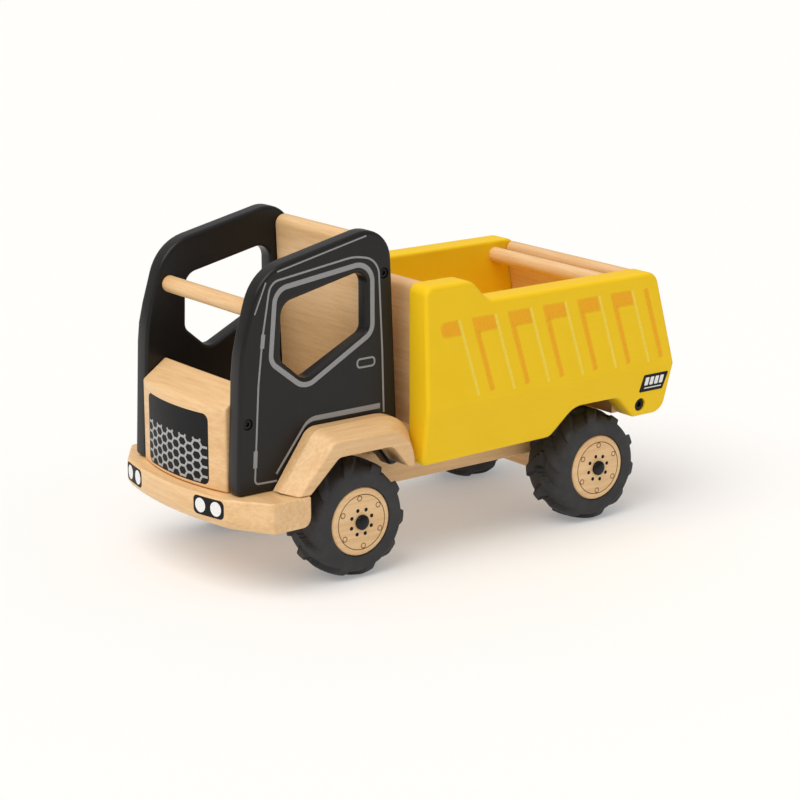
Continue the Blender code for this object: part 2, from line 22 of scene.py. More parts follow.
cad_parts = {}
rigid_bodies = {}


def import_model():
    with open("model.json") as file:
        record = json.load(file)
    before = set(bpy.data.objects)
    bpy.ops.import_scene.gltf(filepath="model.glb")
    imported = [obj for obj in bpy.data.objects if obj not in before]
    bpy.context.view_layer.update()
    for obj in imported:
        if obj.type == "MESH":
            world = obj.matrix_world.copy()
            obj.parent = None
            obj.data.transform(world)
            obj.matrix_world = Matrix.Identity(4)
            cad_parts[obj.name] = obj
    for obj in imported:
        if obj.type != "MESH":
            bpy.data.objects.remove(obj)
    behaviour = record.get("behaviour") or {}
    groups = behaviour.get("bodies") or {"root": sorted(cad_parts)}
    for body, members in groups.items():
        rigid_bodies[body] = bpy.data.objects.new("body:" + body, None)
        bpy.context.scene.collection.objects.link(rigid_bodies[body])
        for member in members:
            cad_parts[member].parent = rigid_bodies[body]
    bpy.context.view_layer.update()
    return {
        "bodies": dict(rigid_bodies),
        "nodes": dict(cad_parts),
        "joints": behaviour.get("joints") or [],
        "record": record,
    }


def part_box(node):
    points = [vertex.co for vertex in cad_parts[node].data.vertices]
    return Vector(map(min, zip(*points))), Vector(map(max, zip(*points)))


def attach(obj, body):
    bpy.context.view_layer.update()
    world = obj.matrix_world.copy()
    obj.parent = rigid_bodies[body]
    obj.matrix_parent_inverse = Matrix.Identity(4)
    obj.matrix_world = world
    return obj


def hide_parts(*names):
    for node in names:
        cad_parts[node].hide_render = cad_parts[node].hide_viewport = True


log = logging.getLogger("toy_dump_truck")

MM = 0.001
ARC_STEP = math.radians(7.5)
SHARP = math.radians(32)

Corner = tuple[float, float, float]
Colour = tuple[float, float, float]
Place = Callable[[float, float, float], Vector]
Steps = list[tuple[float, float]]


class Side(Enum):
    """The truck's two sides, with the sign of y on each."""

    LEFT = 1
    RIGHT = -1

    @property
    def word(self) -> str:
        """The side's name, as piece names use it."""
        return self.name.lower()


class Axis(Enum):
    """The direction that a piece's grain runs in."""

    X = 0
    Y = 1
    Z = 2


# Shader building.


class Value:
    """A number socket in a shader, which takes part in arithmetic."""

    def __init__(self, recipe: "Recipe", socket: bpy.types.NodeSocket) -> None:
        """Wrap a socket of the recipe's tree."""
        self.recipe = recipe
        self.socket = socket

    def _math(self, operation: str, first: object, second: object) -> "Value":
        """Add a Math node on two numbers or values."""
        return self.recipe.value("ShaderNodeMath", {"operation": operation}, {0: first, 1: second})

    def __add__(self, other: object) -> "Value":
        """Self plus other."""
        return self._math("ADD", self, other)

    def __radd__(self, other: object) -> "Value":
        """Other plus self."""
        return self._math("ADD", other, self)

    def __sub__(self, other: object) -> "Value":
        """Self minus other."""
        return self._math("SUBTRACT", self, other)

    def __rsub__(self, other: object) -> "Value":
        """Other minus self."""
        return self._math("SUBTRACT", other, self)

    def __mul__(self, other: object) -> "Value":
        """Self times other."""
        return self._math("MULTIPLY", self, other)

    def __rmul__(self, other: object) -> "Value":
        """Other times self."""
        return self._math("MULTIPLY", other, self)

    def ramp(self, low: float, high: float) -> "Value":
        """A smooth step from 0 at low to 1 at high."""
        settings = {"interpolation_type": "SMOOTHSTEP", "clamp": True}
        return self.recipe.value("ShaderNodeMapRange", settings, {0: self, 1: low, 2: high})


class Recipe:
    """The node tree of a material or a world, with short ways to add its nodes."""

    def __init__(self, owner: bpy.types.Material | bpy.types.World, shader: str) -> None:
        """Open the owner's tree at the shader that it starts with.

        Args:
            owner: the material or world that gets the nodes.
            shader: the name of the shader node that its tree starts with.
        """
        owner.use_nodes = True
        self.tree = owner.node_tree
        self.shader = self.tree.nodes[shader]

    def node(self, kind: str, settings: dict[str, object], sockets: dict[object, object]) -> bpy.types.Node:
        """Add a node.

        Args:
            kind: the node's type.
            settings: its properties, which are set first.
            sockets: values or links of its inputs, by name or by number.

        Returns:
            The new node.
        """
        made = self.tree.nodes.new(kind)
        for key, setting in settings.items():
            setattr(made, key, setting)
        for key, given in sockets.items():
            self.feed(made.inputs[key], given)
        return made

    def feed(self, target: bpy.types.NodeSocket, given: object) -> None:
        """Link a value or a socket to an input, or set the input to a number or a colour.

        Args:
            target: the input.
            given: a value, a socket, a number or a colour.
        """
        if isinstance(given, Value):
            self.tree.links.new(given.socket, target)
        elif isinstance(given, bpy.types.NodeSocket):
            self.tree.links.new(given, target)
        else:
            target.default_value = given

    def value(self, kind: str, settings: dict[str, object], sockets: dict[object, object]) -> Value:
        """Add a node and wrap its first output."""
        return Value(self, self.node(kind, settings, sockets).outputs[0])

    def grain_space(self, grain: Axis, stretch: float, seed: float = 0.0) -> bpy.types.NodeSocket:
        """Object coordinates in millimetres, drawn out along the grain.

        Args:
            grain: the axis that the pattern is drawn out along.
            stretch: how many times longer the pattern is along the grain.
            seed: a shift that gives another stretch of the same pattern.

        Returns:
            The vector socket.
        """
        scale = [1 / MM] * 3
        scale[grain.value] /= stretch
        place = self.node("ShaderNodeTexCoord", {}, {}).outputs["Object"]
        sockets = {"Vector": place, "Location": (seed, seed, seed), "Scale": scale}
        return self.node("ShaderNodeMapping", {}, sockets).outputs[0]

    def noise(self, space: bpy.types.NodeSocket, size: float, detail: float = 2.0) -> Value:
        """Noise whose features are about that size, in millimetres."""
        sockets = {"Vector": space, "Scale": 1 / size, "Detail": detail, "Roughness": 0.55}
        return self.value("ShaderNodeTexNoise", {}, sockets)

    def blend(self, factor: Value, first: object, second: object) -> bpy.types.NodeSocket:
        """Mix two colours: the first where the factor is 0, and the second where it is 1.

        Args:
            factor: how much of the second colour shows.
            first: a colour, or a socket that gives one.
            second: the same.

        Returns:
            The mixed colour's socket.
        """
        settings = {"data_type": "RGBA", "clamp_factor": True}
        colours = [(*c, 1.0) if isinstance(c, tuple) else c for c in (first, second)]
        made = self.node("ShaderNodeMix", settings, {"Factor": factor, 6: colours[0], 7: colours[1]})
        return made.outputs[2]

    def bump(self, height: Value, depth: float, strength: float = 1.0) -> None:
        """Raise the surface by a height map, depth millimetres from 0 to 1.

        Args:
            height: the height map, from 0 to 1.
            depth: the height of 1, in millimetres.
            strength: the share of it that shows.
        """
        sockets = {"Height": height, "Distance": depth * MM, "Strength": strength}
        made = self.node("ShaderNodeBump", {}, sockets)
        self.feed(self.shader.inputs["Normal"], made.outputs[0])

    def set(self, **sockets: object) -> None:
        """Feed the shader's own sockets, named in lower case with underscores.

        Args:
            sockets: each socket's value or link.
        """
        names = {name.lower().replace(" ", "_"): name for name in self.shader.inputs.keys()}
        for key, given in sockets.items():
            self.feed(self.shader.inputs[names[key]], given)


@dataclass(frozen=True)
class Finish:
    """A finish that a piece can have."""

    name: str

    def dress(self, recipe: Recipe) -> None:
        """Add the finish's nodes to a recipe."""
        raise NotImplementedError

    def material(self) -> bpy.types.Material:
        """The finish's material, made the first time that it is asked for.

        Returns:
            The material.
        """
        found = bpy.data.materials.get(self.name)
        if found:
            return found
        made = bpy.data.materials.new(self.name)
        self.dress(Recipe(made, "Principled BSDF"))
        return made


@dataclass(frozen=True)
class Beech(Finish):
    """Pale beech under clear satin lacquer, with its grain along one axis."""

    grain: Axis = Axis.X
    light: Colour = (0.860, 0.585, 0.305)
    dark: Colour = (0.735, 0.450, 0.205)
    fleck: Colour = (0.520, 0.270, 0.100)
    seed: float = 0.0

    def dress(self, recipe: Recipe) -> None:
        """Broad drift, growth lines and short ray flecks.

        Args:
            recipe: the material's node tree.
        """
        long_grain = recipe.grain_space(self.grain, 16.0, self.seed)
        short_grain = recipe.grain_space(self.grain, 5.0, self.seed)
        drift = recipe.noise(long_grain, 16.0)
        lines = recipe.noise(long_grain, 1.9, 4.0)
        rays = recipe.noise(short_grain, 0.42, 1.0)
        figure = drift * 0.9 + lines * 1.1 - 0.5
        wood = recipe.blend(figure.ramp(0.15, 0.85), self.light, self.dark)
        recipe.set(
            base_color=recipe.blend(rays.ramp(0.60, 0.74) * 0.30, wood, self.fleck),
            roughness=0.40 + lines * 0.10 + rays * 0.04,
            coat_weight=0.12,
            coat_roughness=0.25,
        )
        recipe.bump(lines * 0.6 + rays * 0.4, 0.05, 0.5)


@dataclass(frozen=True)
class Paint(Finish):
    """Satin paint over wood, with a little of the grain and of the roller's texture showing."""

    colour: Colour = (0.5, 0.5, 0.5)
    worn: Colour = (0.6, 0.6, 0.6)
    roughness: float = 0.38
    gloss: float = 0.35
    grain: Axis = Axis.X

    def dress(self, recipe: Recipe) -> None:
        """A slow change of shade, faint grain lines and fine orange peel.

        Args:
            recipe: the material's node tree.
        """
        grain = recipe.grain_space(self.grain, 14.0)
        even = recipe.grain_space(self.grain, 1.0)
        lines = recipe.noise(grain, 1.6, 3.0)
        clouds = recipe.noise(even, 26.0)
        peel = recipe.noise(even, 0.55, 1.0)
        shade = clouds * 0.6 + lines * 0.4
        recipe.set(
            base_color=recipe.blend(shade.ramp(0.25, 0.80), self.colour, self.worn),
            roughness=self.roughness - 0.06 + clouds * 0.08 + peel * 0.06,
            specular_ior_level=self.gloss,
        )
        recipe.bump(lines * 0.55 + peel * 0.45, 0.03, 0.6)


@dataclass(frozen=True)
class Ink(Finish):
    """A screen-printed colour, a little uneven and a little duller than the paint round it."""

    colour: Colour = (0.5, 0.5, 0.5)
    roughness: float = 0.45

    def dress(self, recipe: Recipe) -> None:
        """Fine mottling in colour and roughness.

        Args:
            recipe: the material's node tree.
        """
        even = recipe.grain_space(Axis.X, 1.0)
        mottle = recipe.noise(even, 0.9, 3.0)
        thin = tuple(0.86 * part for part in self.colour)
        recipe.set(
            base_color=recipe.blend(mottle.ramp(0.3, 0.8), self.colour, thin),
            roughness=self.roughness + mottle * 0.10,
            specular_ior_level=0.12,
        )
        recipe.bump(mottle, 0.01, 0.4)


@dataclass(frozen=True)
class Rubber(Finish):
    """Moulded black rubber, dusty grey, with a fine grain."""

    colour: Colour = (0.040, 0.040, 0.042)
    dusty: Colour = (0.052, 0.052, 0.053)

    def dress(self, recipe: Recipe) -> None:
        """Fine mould grain and patches of bloom.

        Args:
            recipe: the material's node tree.
        """
        even = recipe.grain_space(Axis.X, 1.0)
        bloom = recipe.noise(even, 9.0, 3.0)
        grain = recipe.noise(even, 0.35, 2.0)
        recipe.set(
            base_color=recipe.blend(bloom.ramp(0.35, 0.75), self.colour, self.dusty),
            roughness=0.62 + bloom * 0.10 + grain * 0.06,
            specular_ior_level=0.25,
        )
        recipe.bump(grain * 0.8 + bloom * 0.2, 0.04, 0.4)


@dataclass(frozen=True)
class Steel(Finish):
    """Drawn or blackened steel, with fine turning marks."""

    colour: Colour = (0.6, 0.6, 0.6)
    roughness: float = 0.30
    grain: Axis = Axis.Y

    def dress(self, recipe: Recipe) -> None:
        """Marks across the grain and a slow change of gloss.

        Args:
            recipe: the material's node tree.
        """
        marks = recipe.noise(recipe.grain_space(self.grain, 0.2), 0.5, 2.0)
        clouds = recipe.noise(recipe.grain_space(self.grain, 1.0), 4.0)
        dull = tuple(0.75 * part for part in self.colour)
        recipe.set(
            base_color=recipe.blend(clouds.ramp(0.3, 0.8), self.colour, dull),
            roughness=self.roughness + marks * 0.12,
            metallic=1.0,
        )
        recipe.bump(marks, 0.01, 0.3)


@dataclass(frozen=True)
class StudioFloor(Finish):
    """Seamless white studio paper."""

    colour: Colour = (0.70, 0.70, 0.70)
    glow: float = 0.26

    def dress(self, recipe: Recipe) -> None:
        """Plain and matt, with a little light of its own, as paper lit from behind has.

        Args:
            recipe: the material's node tree.
        """
        recipe.set(
            base_color=(*self.colour, 1.0),
            roughness=0.75,
            specular_ior_level=0.10,
            emission_color=(1.0, 1.0, 1.0, 1.0),
            emission_strength=self.glow,
        )


LONG_BEECH = Beech("long_beech", Axis.X)
CROSS_BEECH = Beech("cross_beech", Axis.Y)
TURNED_BEECH = Beech("turned_beech", Axis.X, seed=90.0)
BLACK_PAINT = Paint("black_paint", (0.0105, 0.0103, 0.0100), (0.0140, 0.0135, 0.0130), 0.30, 0.26, Axis.Z)
YELLOW_PAINT = Paint("yellow_paint", (0.940, 0.615, 0.016), (0.910, 0.590, 0.012), 0.42, 0.12)
SILVER_INK = Ink("silver_ink", (0.330, 0.330, 0.335), 0.45)
PALE_INK = Ink("pale_ink", (0.430, 0.435, 0.440), 0.45)
BLACK_INK = Ink("black_ink", (0.012, 0.012, 0.013), 0.45)
WHITE_INK = Ink("white_ink", (0.900, 0.910, 0.900), 0.35)
LEMON_INK = Ink("lemon_ink", (0.960, 0.720, 0.090), 0.42)
ORANGE_INK = Ink("orange_ink", (0.960, 0.455, 0.018), 0.46)
AMBER_INK = Ink("amber_ink", (0.950, 0.540, 0.017), 0.46)
BURNT_INK = Ink("burnt_line", (0.170, 0.075, 0.030), 0.60)
RUBBER = Rubber("tyre_rubber")
BLACK_STEEL = Steel("blackened_steel", (0.030, 0.030, 0.032), 0.34)
BRIGHT_STEEL = Steel("drawn_steel", (0.620, 0.620, 0.610), 0.28)
FLOOR = StudioFloor("studio_paper")

SLOTS = {
    Beech: "natural_wood",
    Rubber: "black_rubber",
}
FINISH_SLOTS = {
    BLACK_PAINT: "black_painted_wood",
    YELLOW_PAINT: "yellow_painted_wood",
    BLACK_STEEL: "black_steel",
    BRIGHT_STEEL: "bright_steel",
}


# Drawing on the bench.


def smooth_corner(x: float, soft: float = 0.2) -> float:
    """The line y = x up to 1 and level after it, with the corner rounded off.

    Args:
        x: the place on the line.
        soft: how far the rounding reaches on each side of the corner.

    Returns:
        The line's height.
    """
    if x <= 1 - soft:
        return x
    if x >= 1 + soft:
        return 1.0
    return x - (x - 1 + soft) ** 2 / (4 * soft)


def smooth(low: float, high: float, x: float) -> float:
    """A smooth step from 0 at low to 1 at high."""
    t = min(1.0, max(0.0, (x - low) / (high - low)))
    return t * t * (3 - 2 * t)


def corner_arc(before: Vector, corner: Vector, after: Vector, radius: float) -> list[Vector]:
    """The points of the arc that rounds a corner between two straight runs.

    Args:
        before: the corner before it.
        corner: the corner itself.
        after: the corner after it.
        radius: the arc's radius.

    Returns:
        The points, starting on the side of the corner before.
    """
    back = (before - corner).normalized()
    ahead = (after - corner).normalized()
    half_angle = back.angle(ahead) / 2
    reach = radius / math.tan(half_angle)
    centre = corner + (back + ahead).normalized() * (radius / math.sin(half_angle))
    start = corner + back * reach - centre
    turn = start.angle_signed(corner + ahead * reach - centre)
    steps = max(2, math.ceil(abs(turn) / ARC_STEP))
    return [centre + Matrix.Rotation(-turn * i / steps, 2) @ start for i in range(steps + 1)]


def drawn(corners: Sequence[Corner], closed: bool = True) -> list[Vector]:
    """The points of a line through corners (a, b, radius), each rounded to its radius.

    Args:
        corners: the line's corners, in order.
        closed: whether the line ends where it starts.

    Returns:
        The points, with no repeat at a closed line's end.
    """
    places = [Vector(corner[:2]) for corner in corners]
    points = []
    for i, (a, b, radius) in enumerate(corners):
        if radius and (closed or 0 < i < len(corners) - 1):
            points += corner_arc(places[i - 1], places[i], places[(i + 1) % len(places)], radius)
        else:
            points.append(Vector((a, b)))
    return points


def rounded_box(low: tuple[float, float], high: tuple[float, float], radius: float) -> list[Vector]:
    """The points of a box with rounded corners, from its lowest corner on.

    Args:
        low: its lowest (a, b).
        high: its highest (a, b).
        radius: the radius of its corners.

    Returns:
        The points.
    """
    corners = (low, (high[0], low[1]), high, (low[0], high[1]))
    return drawn([(*corner, radius) for corner in corners])


def oval(a: float, b: float, half_a: float, half_b: float, points: int = 32) -> list[Vector]:
    """The points of an ellipse round (a, b)."""
    turns = [2 * math.pi * i / points for i in range(points)]
    return [Vector((a + half_a * math.cos(t), b + half_b * math.sin(t))) for t in turns]


def rounding(radius: float, steps: int = 6) -> Steps:
    """The (inset, rise) steps of a quarter-round edge, and a narrow flat step inside it.

    Args:
        radius: the round's radius.
        steps: how many straight steps stand for it.

    Returns:
        The steps, from the outside in.
    """
    turns = [math.pi / 2 * i / steps for i in range(steps + 1)]
    return [
        (radius * (math.cos(t) - math.cos(u)), radius * (math.sin(u) - math.sin(t)))
        for t, u in zip(turns, turns[1:])
    ] + [(0.2, 0.0)]


def flat_faces(shape: bmesh.types.BMesh, outline: Sequence[Vector], hole: Sequence[Vector] = ()) -> None:
    """Fill an outline on the bench, in two halves where it has a hole.

    Args:
        shape: the shape that gets the faces.
        outline: the outline, in order.
        hole: the outline of a hole in it, drawn the same way round.
    """
    rim = [shape.verts.new((a, b, 0)) for a, b in outline]
    if not hole:
        shape.faces.new(rim)
        return
    inner = [shape.verts.new((a, b, 0)) for a, b in hole]
    half = len(inner) // 2

    def nearest(corner: bmesh.types.BMVert) -> int:
        """The rim's point nearest to a corner of the hole."""
        return min(range(len(rim)), key=lambda i: (rim[i].co - corner.co).length)

    def run(ring: list[bmesh.types.BMVert], first: int, last: int) -> list[bmesh.types.BMVert]:
        """The ring's points from first on to last, both included."""
        count = (last - first) % len(ring)
        return [ring[(first + i) % len(ring)] for i in range(count + 1)]

    first, second = nearest(inner[0]), nearest(inner[half])
    shape.faces.new(run(rim, first, second) + run(inner, 0, half)[::-1])
    shape.faces.new(run(rim, second, first) + run(inner, half, 0)[::-1])


def outward(shape: bmesh.types.BMesh) -> bmesh.types.BMesh:
    """Turn every face of a closed shape outward.

    Args:
        shape: the closed shape.

    Returns:
        The same shape.
    """
    shape.normal_update()
    bmesh.ops.recalc_face_normals(shape, faces=shape.faces)
    return shape


def board(
    outline: Sequence[Vector], thickness: float, top: Steps, bottom: Steps, hole: Sequence[Vector] = ()
) -> bmesh.types.BMesh:
    """A board that lies on the bench, with shaped edges above and below.

    Args:
        outline: its outline seen from above.
        thickness: its whole thickness.
        top: the (inset, rise) steps of its upper edges.
        bottom: the same for its lower edges.
        hole: the outline of a hole through it, drawn the same way round.

    Returns:
        The board, from height 0 up to its thickness.
    """
    shape = bmesh.new()
    flat_faces(shape, outline, hole)
    foot = sum(rise for _, rise in bottom)
    straight = thickness - foot - sum(rise for _, rise in top)
    grown = bmesh.ops.extrude_face_region(shape, geom=shape.faces[:])["geom"]
    raised = [v for v in grown if isinstance(v, bmesh.types.BMVert)]
    bmesh.ops.translate(shape, vec=(0, 0, straight), verts=raised)
    bmesh.ops.translate(shape, vec=(0, 0, foot), verts=shape.verts)
    outward(shape)
    for up, steps in ((1, top), (-1, bottom)):
        cap = [face for face in shape.faces if face.normal.z * up > 0.9]
        for inset, rise in steps:
            bmesh.ops.inset_region(shape, faces=cap, thickness=inset, depth=rise, use_even_offset=True)
    return shape


def patch(outline: Sequence[Vector], height: float, lift: float = 0.0) -> bmesh.types.BMesh:
    """A thin layer of ink on the bench.

    Args:
        outline: the layer's outline.
        height: the thickness of the ink.
        lift: how far above the bench the ink starts.

    Returns:
        The layer's solid.
    """
    shape = bmesh.new()
    flat_faces(shape, outline)
    return thickened(shape, height, lift)


def thickened(shape: bmesh.types.BMesh, height: float, lift: float) -> bmesh.types.BMesh:
    """Give flat faces on the bench a thickness, and lift them.

    Args:
        shape: flat faces at height 0.
        height: their thickness.
        lift: how far above the bench they start.

    Returns:
        The same shape, now closed.
    """
    grown = bmesh.ops.extrude_face_region(shape, geom=shape.faces[:])["geom"]
    raised = [v for v in grown if isinstance(v, bmesh.types.BMVert)]
    bmesh.ops.translate(shape, vec=(0, 0, height), verts=raised)
    bmesh.ops.translate(shape, vec=(0, 0, lift), verts=shape.verts)
    return outward(shape)


def ribbon(
    points: Sequence[Vector], widths: Sequence[float], height: float, closed: bool = False, lift: float = 0.0
) -> bmesh.types.BMesh:
    """A thin printed line on the bench.

    Args:
        points: the middle of the line.
        widths: its width at its start and at its end, between which it changes evenly.
        height: the thickness of the ink.
        closed: whether the line runs round to its start.
        lift: how far above the bench the ink starts.

    Returns:
        The line's solid.
    """
    shape = bmesh.new()
    count = len(points)
    stops = count + 1 if closed else count
    edge = None
    for i in range(stops):
        here = points[i % count]
        before = points[(i - 1) % count] if closed or i else here
        after = points[(i + 1) % count] if closed or i < count - 1 else here
        heading = (after - before).normalized()
        across = Vector((-heading.y, heading.x)) * 0.5
        width = widths[0] + (widths[-1] - widths[0]) * i / (stops - 1)
        ends = [(*(here + across * width * sign), 0) for sign in (1, -1)]
        if edge is None:
            edge = shape.edges.new([shape.verts.new(end) for end in ends])
            continue
        sides = list(edge.verts)
        grown = bmesh.ops.extrude_edge_only(shape, edges=[edge])["geom"]
        edge = next(e for e in grown if isinstance(e, bmesh.types.BMEdge) and not set(e.verts) & set(sides))
        edge.verts[0].co, edge.verts[1].co = ends
    if closed:
        bmesh.ops.remove_doubles(shape, verts=shape.verts, dist=0.0001)
    return thickened(shape, height, lift)


def turned(profile: Sequence[tuple[float, float]], steps: int, closed: bool) -> bmesh.types.BMesh:
    """A piece turned about the bench's upright axis.

    Args:
        profile: its (radius, height) points, from its top down its outer side.
        steps: how many steps a full turn takes.
        closed: whether the profile is a ring's, which ends where it starts.

    Returns:
        The turned piece.
    """
    shape = bmesh.new()
    points = [shape.verts.new((radius, 0, height)) for radius, height in profile]
    for first, second in zip(points, points[1:] + points[:1] if closed else points[1:]):
        shape.edges.new((first, second))
    bmesh.ops.spin(
        shape,
        geom=shape.verts[:] + shape.edges[:],
        cent=(0, 0, 0),
        axis=(0, 0, 1),
        angle=2 * math.pi,
        steps=steps,
        use_merge=True,
    )
    bmesh.ops.remove_doubles(shape, verts=shape.verts, dist=0.0001)
    return outward(shape)


def soft_profile(corners: Sequence[Corner]) -> list[tuple[float, float]]:
    """A turned profile whose corners (radius, height, rounding) are rounded."""
    return [(point.x, point.y) for point in drawn(corners, closed=False)]


def sliced(shape: bmesh.types.BMesh, axis: Axis, stations: Sequence[float]) -> bmesh.types.BMesh:
    """Cut a shape across an axis at each station, so that it can bend there.

    Args:
        shape: the shape.
        axis: the axis that the cuts are square to.
        stations: the places of the cuts along it.

    Returns:
        The same shape.
    """
    normal = [0.0, 0.0, 0.0]
    normal[axis.value] = 1.0
    for station in stations:
        everything = shape.verts[:] + shape.edges[:] + shape.faces[:]
        middle = [part * station for part in normal]
        bmesh.ops.bisect_plane(shape, geom=everything, plane_co=middle, plane_no=normal)
    return shape


def stations(low: float, high: float, count: int) -> list[float]:
    """Places that split a length evenly, with neither end."""
    return [low + (high - low) * i / count for i in range(1, count)]


def joined(shapes: Sequence[bmesh.types.BMesh]) -> bmesh.types.BMesh:
    """One bmesh that holds several shapes.

    Args:
        shapes: the shapes, which are used up.

    Returns:
        The whole.
    """
    whole = bmesh.new()
    for shape in shapes:
        mesh = bpy.data.meshes.new("part")
        shape.to_mesh(mesh)
        shape.free()
        whole.from_mesh(mesh)
        bpy.data.meshes.remove(mesh)
    return whole


# Laying the bench on the truck.


def upright(side: Side, y: float) -> Place:
    """The bench as an upright plane along the truck, heights going outward from y on that side."""
    return lambda a, b, h: Vector((a, side.value * (y + h), b))


def level(z: float) -> Place:
    """The bench as a level plane at z, with a along the truck and b to its left."""
    return lambda a, b, h: Vector((a, b, z + h))


def across(y: float) -> Place:
    """The bench as an upright plane along the truck, with heights going left from y."""
    return lambda a, b, h: Vector((a, y + h, b))


def wheel_place(side: Side, axle_x: float, axle_z: float, turn: float = 0.0) -> Place:
    """The bench centred on an axle, heights going outward from the truck's middle.

    Args:
        side: the wheel's side.
        axle_x: the axle's x.
        axle_z: its height.
        turn: how far the wheel is turned about it.

    Returns:
        The place.
    """
    cosine, sine = math.cos(turn), math.sin(turn)
    return lambda a, b, h: Vector(
        (axle_x + a * cosine - b * sine, side.value * h, axle_z + a * sine + b * cosine)
    )


@dataclass
class Workshop:
    """Where shapes become pieces of the model."""

    frame: dict
    origin: Vector = field(init=False)
    rear_axle_x: float = field(init=False)
    axle_z: float = field(init=False)
    boxes: dict[str, tuple[Vector, Vector]] = field(init=False, default_factory=dict)

    def __post_init__(self) -> None:
        """Find the axles: every size is measured from the front one."""
        spins = {joint["name"]: joint for joint in self.frame["joints"]}
        place = spins["front_wheel_left_spin"]["pos_m"]
        self.origin = Vector((place[0], 0, 0))
        self.rear_axle_x = (spins["rear_wheel_left_spin"]["pos_m"][0] - place[0]) / MM
        self.axle_z = place[2] / MM

    def box(self, node: str) -> tuple[Vector, Vector]:
        """A CAD node's lowest and highest corners, in millimetres from the front axle.

        Args:
            node: the node's name.

        Returns:
            The two corners.
        """
        if node not in self.boxes:
            low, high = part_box(node)
            self.boxes[node] = ((low - self.origin) / MM, (high - self.origin) / MM)
        return self.boxes[node]

    def laid(self, shape: bmesh.types.BMesh, place: Place) -> bmesh.types.BMesh:
        """Lay a shape on the truck, in metres.

        Args:
            shape: the shape on the bench.
            place: where the bench goes.

        Returns:
            The same shape.
        """
        for vert in shape.verts:
            vert.co = place(*vert.co) * MM + self.origin
        return outward(shape)

    def piece(
        self,
        name: str,
        shape: bmesh.types.BMesh,
        place: Place,
        finish: Finish,
        body: str,
        replaces: Sequence[str] = (),
        drill: Sequence[bmesh.types.BMesh] = (),
        flat: bool = False,
    ) -> bpy.types.Object:
        """Make a piece of the model from a shape.

        Args:
            name: the piece's name.
            shape: the shape, as it lies on the bench.
            place: where the bench goes.
            finish: the piece's finish.
            body: the CAD body that it moves with.
            replaces: the CAD nodes that it stands for.
            drill: closed shapes, already laid on the truck, to cut out of it.
            flat: whether its broad faces shade as flat between their rounded edges.

        Returns:
            The finished piece.
        """
        made = self.object(name, self.laid(shape, place))
        if drill:
            self.cut(made, drill)
        made.data.materials.append(finish.material())
        made.data.shade_smooth()
        made.data.set_sharp_from_angle(angle=SHARP)
        if flat:
            made.modifiers.new("flat", "WEIGHTED_NORMAL").keep_sharp = True
            self.settle(made)
        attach(made, body)
        if replaces:
            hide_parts(*replaces)
        slot = FINISH_SLOTS.get(finish) or SLOTS.get(type(finish))
        log.info("%s: %d faces", name, len(made.data.polygons))
        return made

    def object(self, name: str, shape: bmesh.types.BMesh) -> bpy.types.Object:
        """A mesh object at the origin.

        Args:
            name: the object's name.
            shape: its shape, which is used up.

        Returns:
            The object.
        """
        mesh = bpy.data.meshes.new(name)
        shape.to_mesh(mesh)
        shape.free()
        made = bpy.data.objects.new(name, mesh)
        bpy.context.scene.collection.objects.link(made)
        return made

    def cut(self, made: bpy.types.Object, tools: Sequence[bmesh.types.BMesh]) -> None:
        """Cut closed shapes out of a piece, for good.

        Args:
            made: the piece.
            tools: the closed shapes, already laid on the truck.
        """
        tool = self.object("cutter", joined(tools))
        bore = made.modifiers.new("bore", "BOOLEAN")
        bore.operation = "DIFFERENCE"
        bore.solver = "EXACT"
        bore.object = tool
        self.settle(made)
        bpy.data.objects.remove(tool, do_unlink=True)

    def settle(self, made: bpy.types.Object) -> None:
        """Make what a piece's modifiers do part of its mesh.

        Args:
            made: the piece.
        """
        bpy.context.view_layer.update()
        graph = bpy.context.evaluated_depsgraph_get()
        mesh = bpy.data.meshes.new_from_object(made.evaluated_get(graph))
        made.modifiers.clear()
        made.data = mesh

    def refinish(self, node: str, finish: Finish) -> None:
        """Give a CAD node that stays a better material.

        Args:
            node: the node's name.
            finish: its new finish.
        """
        slots = self.frame["nodes"][node].data.materials
        slots.clear()
        slots.append(finish.material())
        log.info("%s: kept, in %s", node, finish.name)


@dataclass
class ScrewHead:
    """A flat black screw head with a hexagon socket, sunk into a round counterbore."""

    radius: float = 3.1
    height: float = 1.8
    socket: float = 1.5

    def shape(self) -> bmesh.types.BMesh:
        """The head, its outer face at height 0.

        Returns:
            The head.
        """
        profile = soft_profile(
            (
                (0.0, 0.0, 0),
                (self.radius, -0.05, 0.45),
                (self.radius, -self.height, 0),
                (0.0, -self.height, 0),
            )
        )
        return turned(profile, 32, closed=False)

    def recess(self, depth: float = 1.1) -> bmesh.types.BMesh:
        """The hexagon that is cut out of the head.

        Args:
            depth: how deep it goes.

        Returns:
            The hexagon, as a closed shape.
        """
        shape = bmesh.new()
        bmesh.ops.create_cone(
            shape,
            cap_ends=True,
            segments=6,
            radius1=self.socket,
            radius2=self.socket,
            depth=2 * depth,
        )
        return shape

    def place(self, side: Side, x: float, y: float, z: float) -> Place:
        """The bench turned outward at a point on that side."""
        return lambda a, b, h: Vector((x + a, side.value * (y + h), z + b))


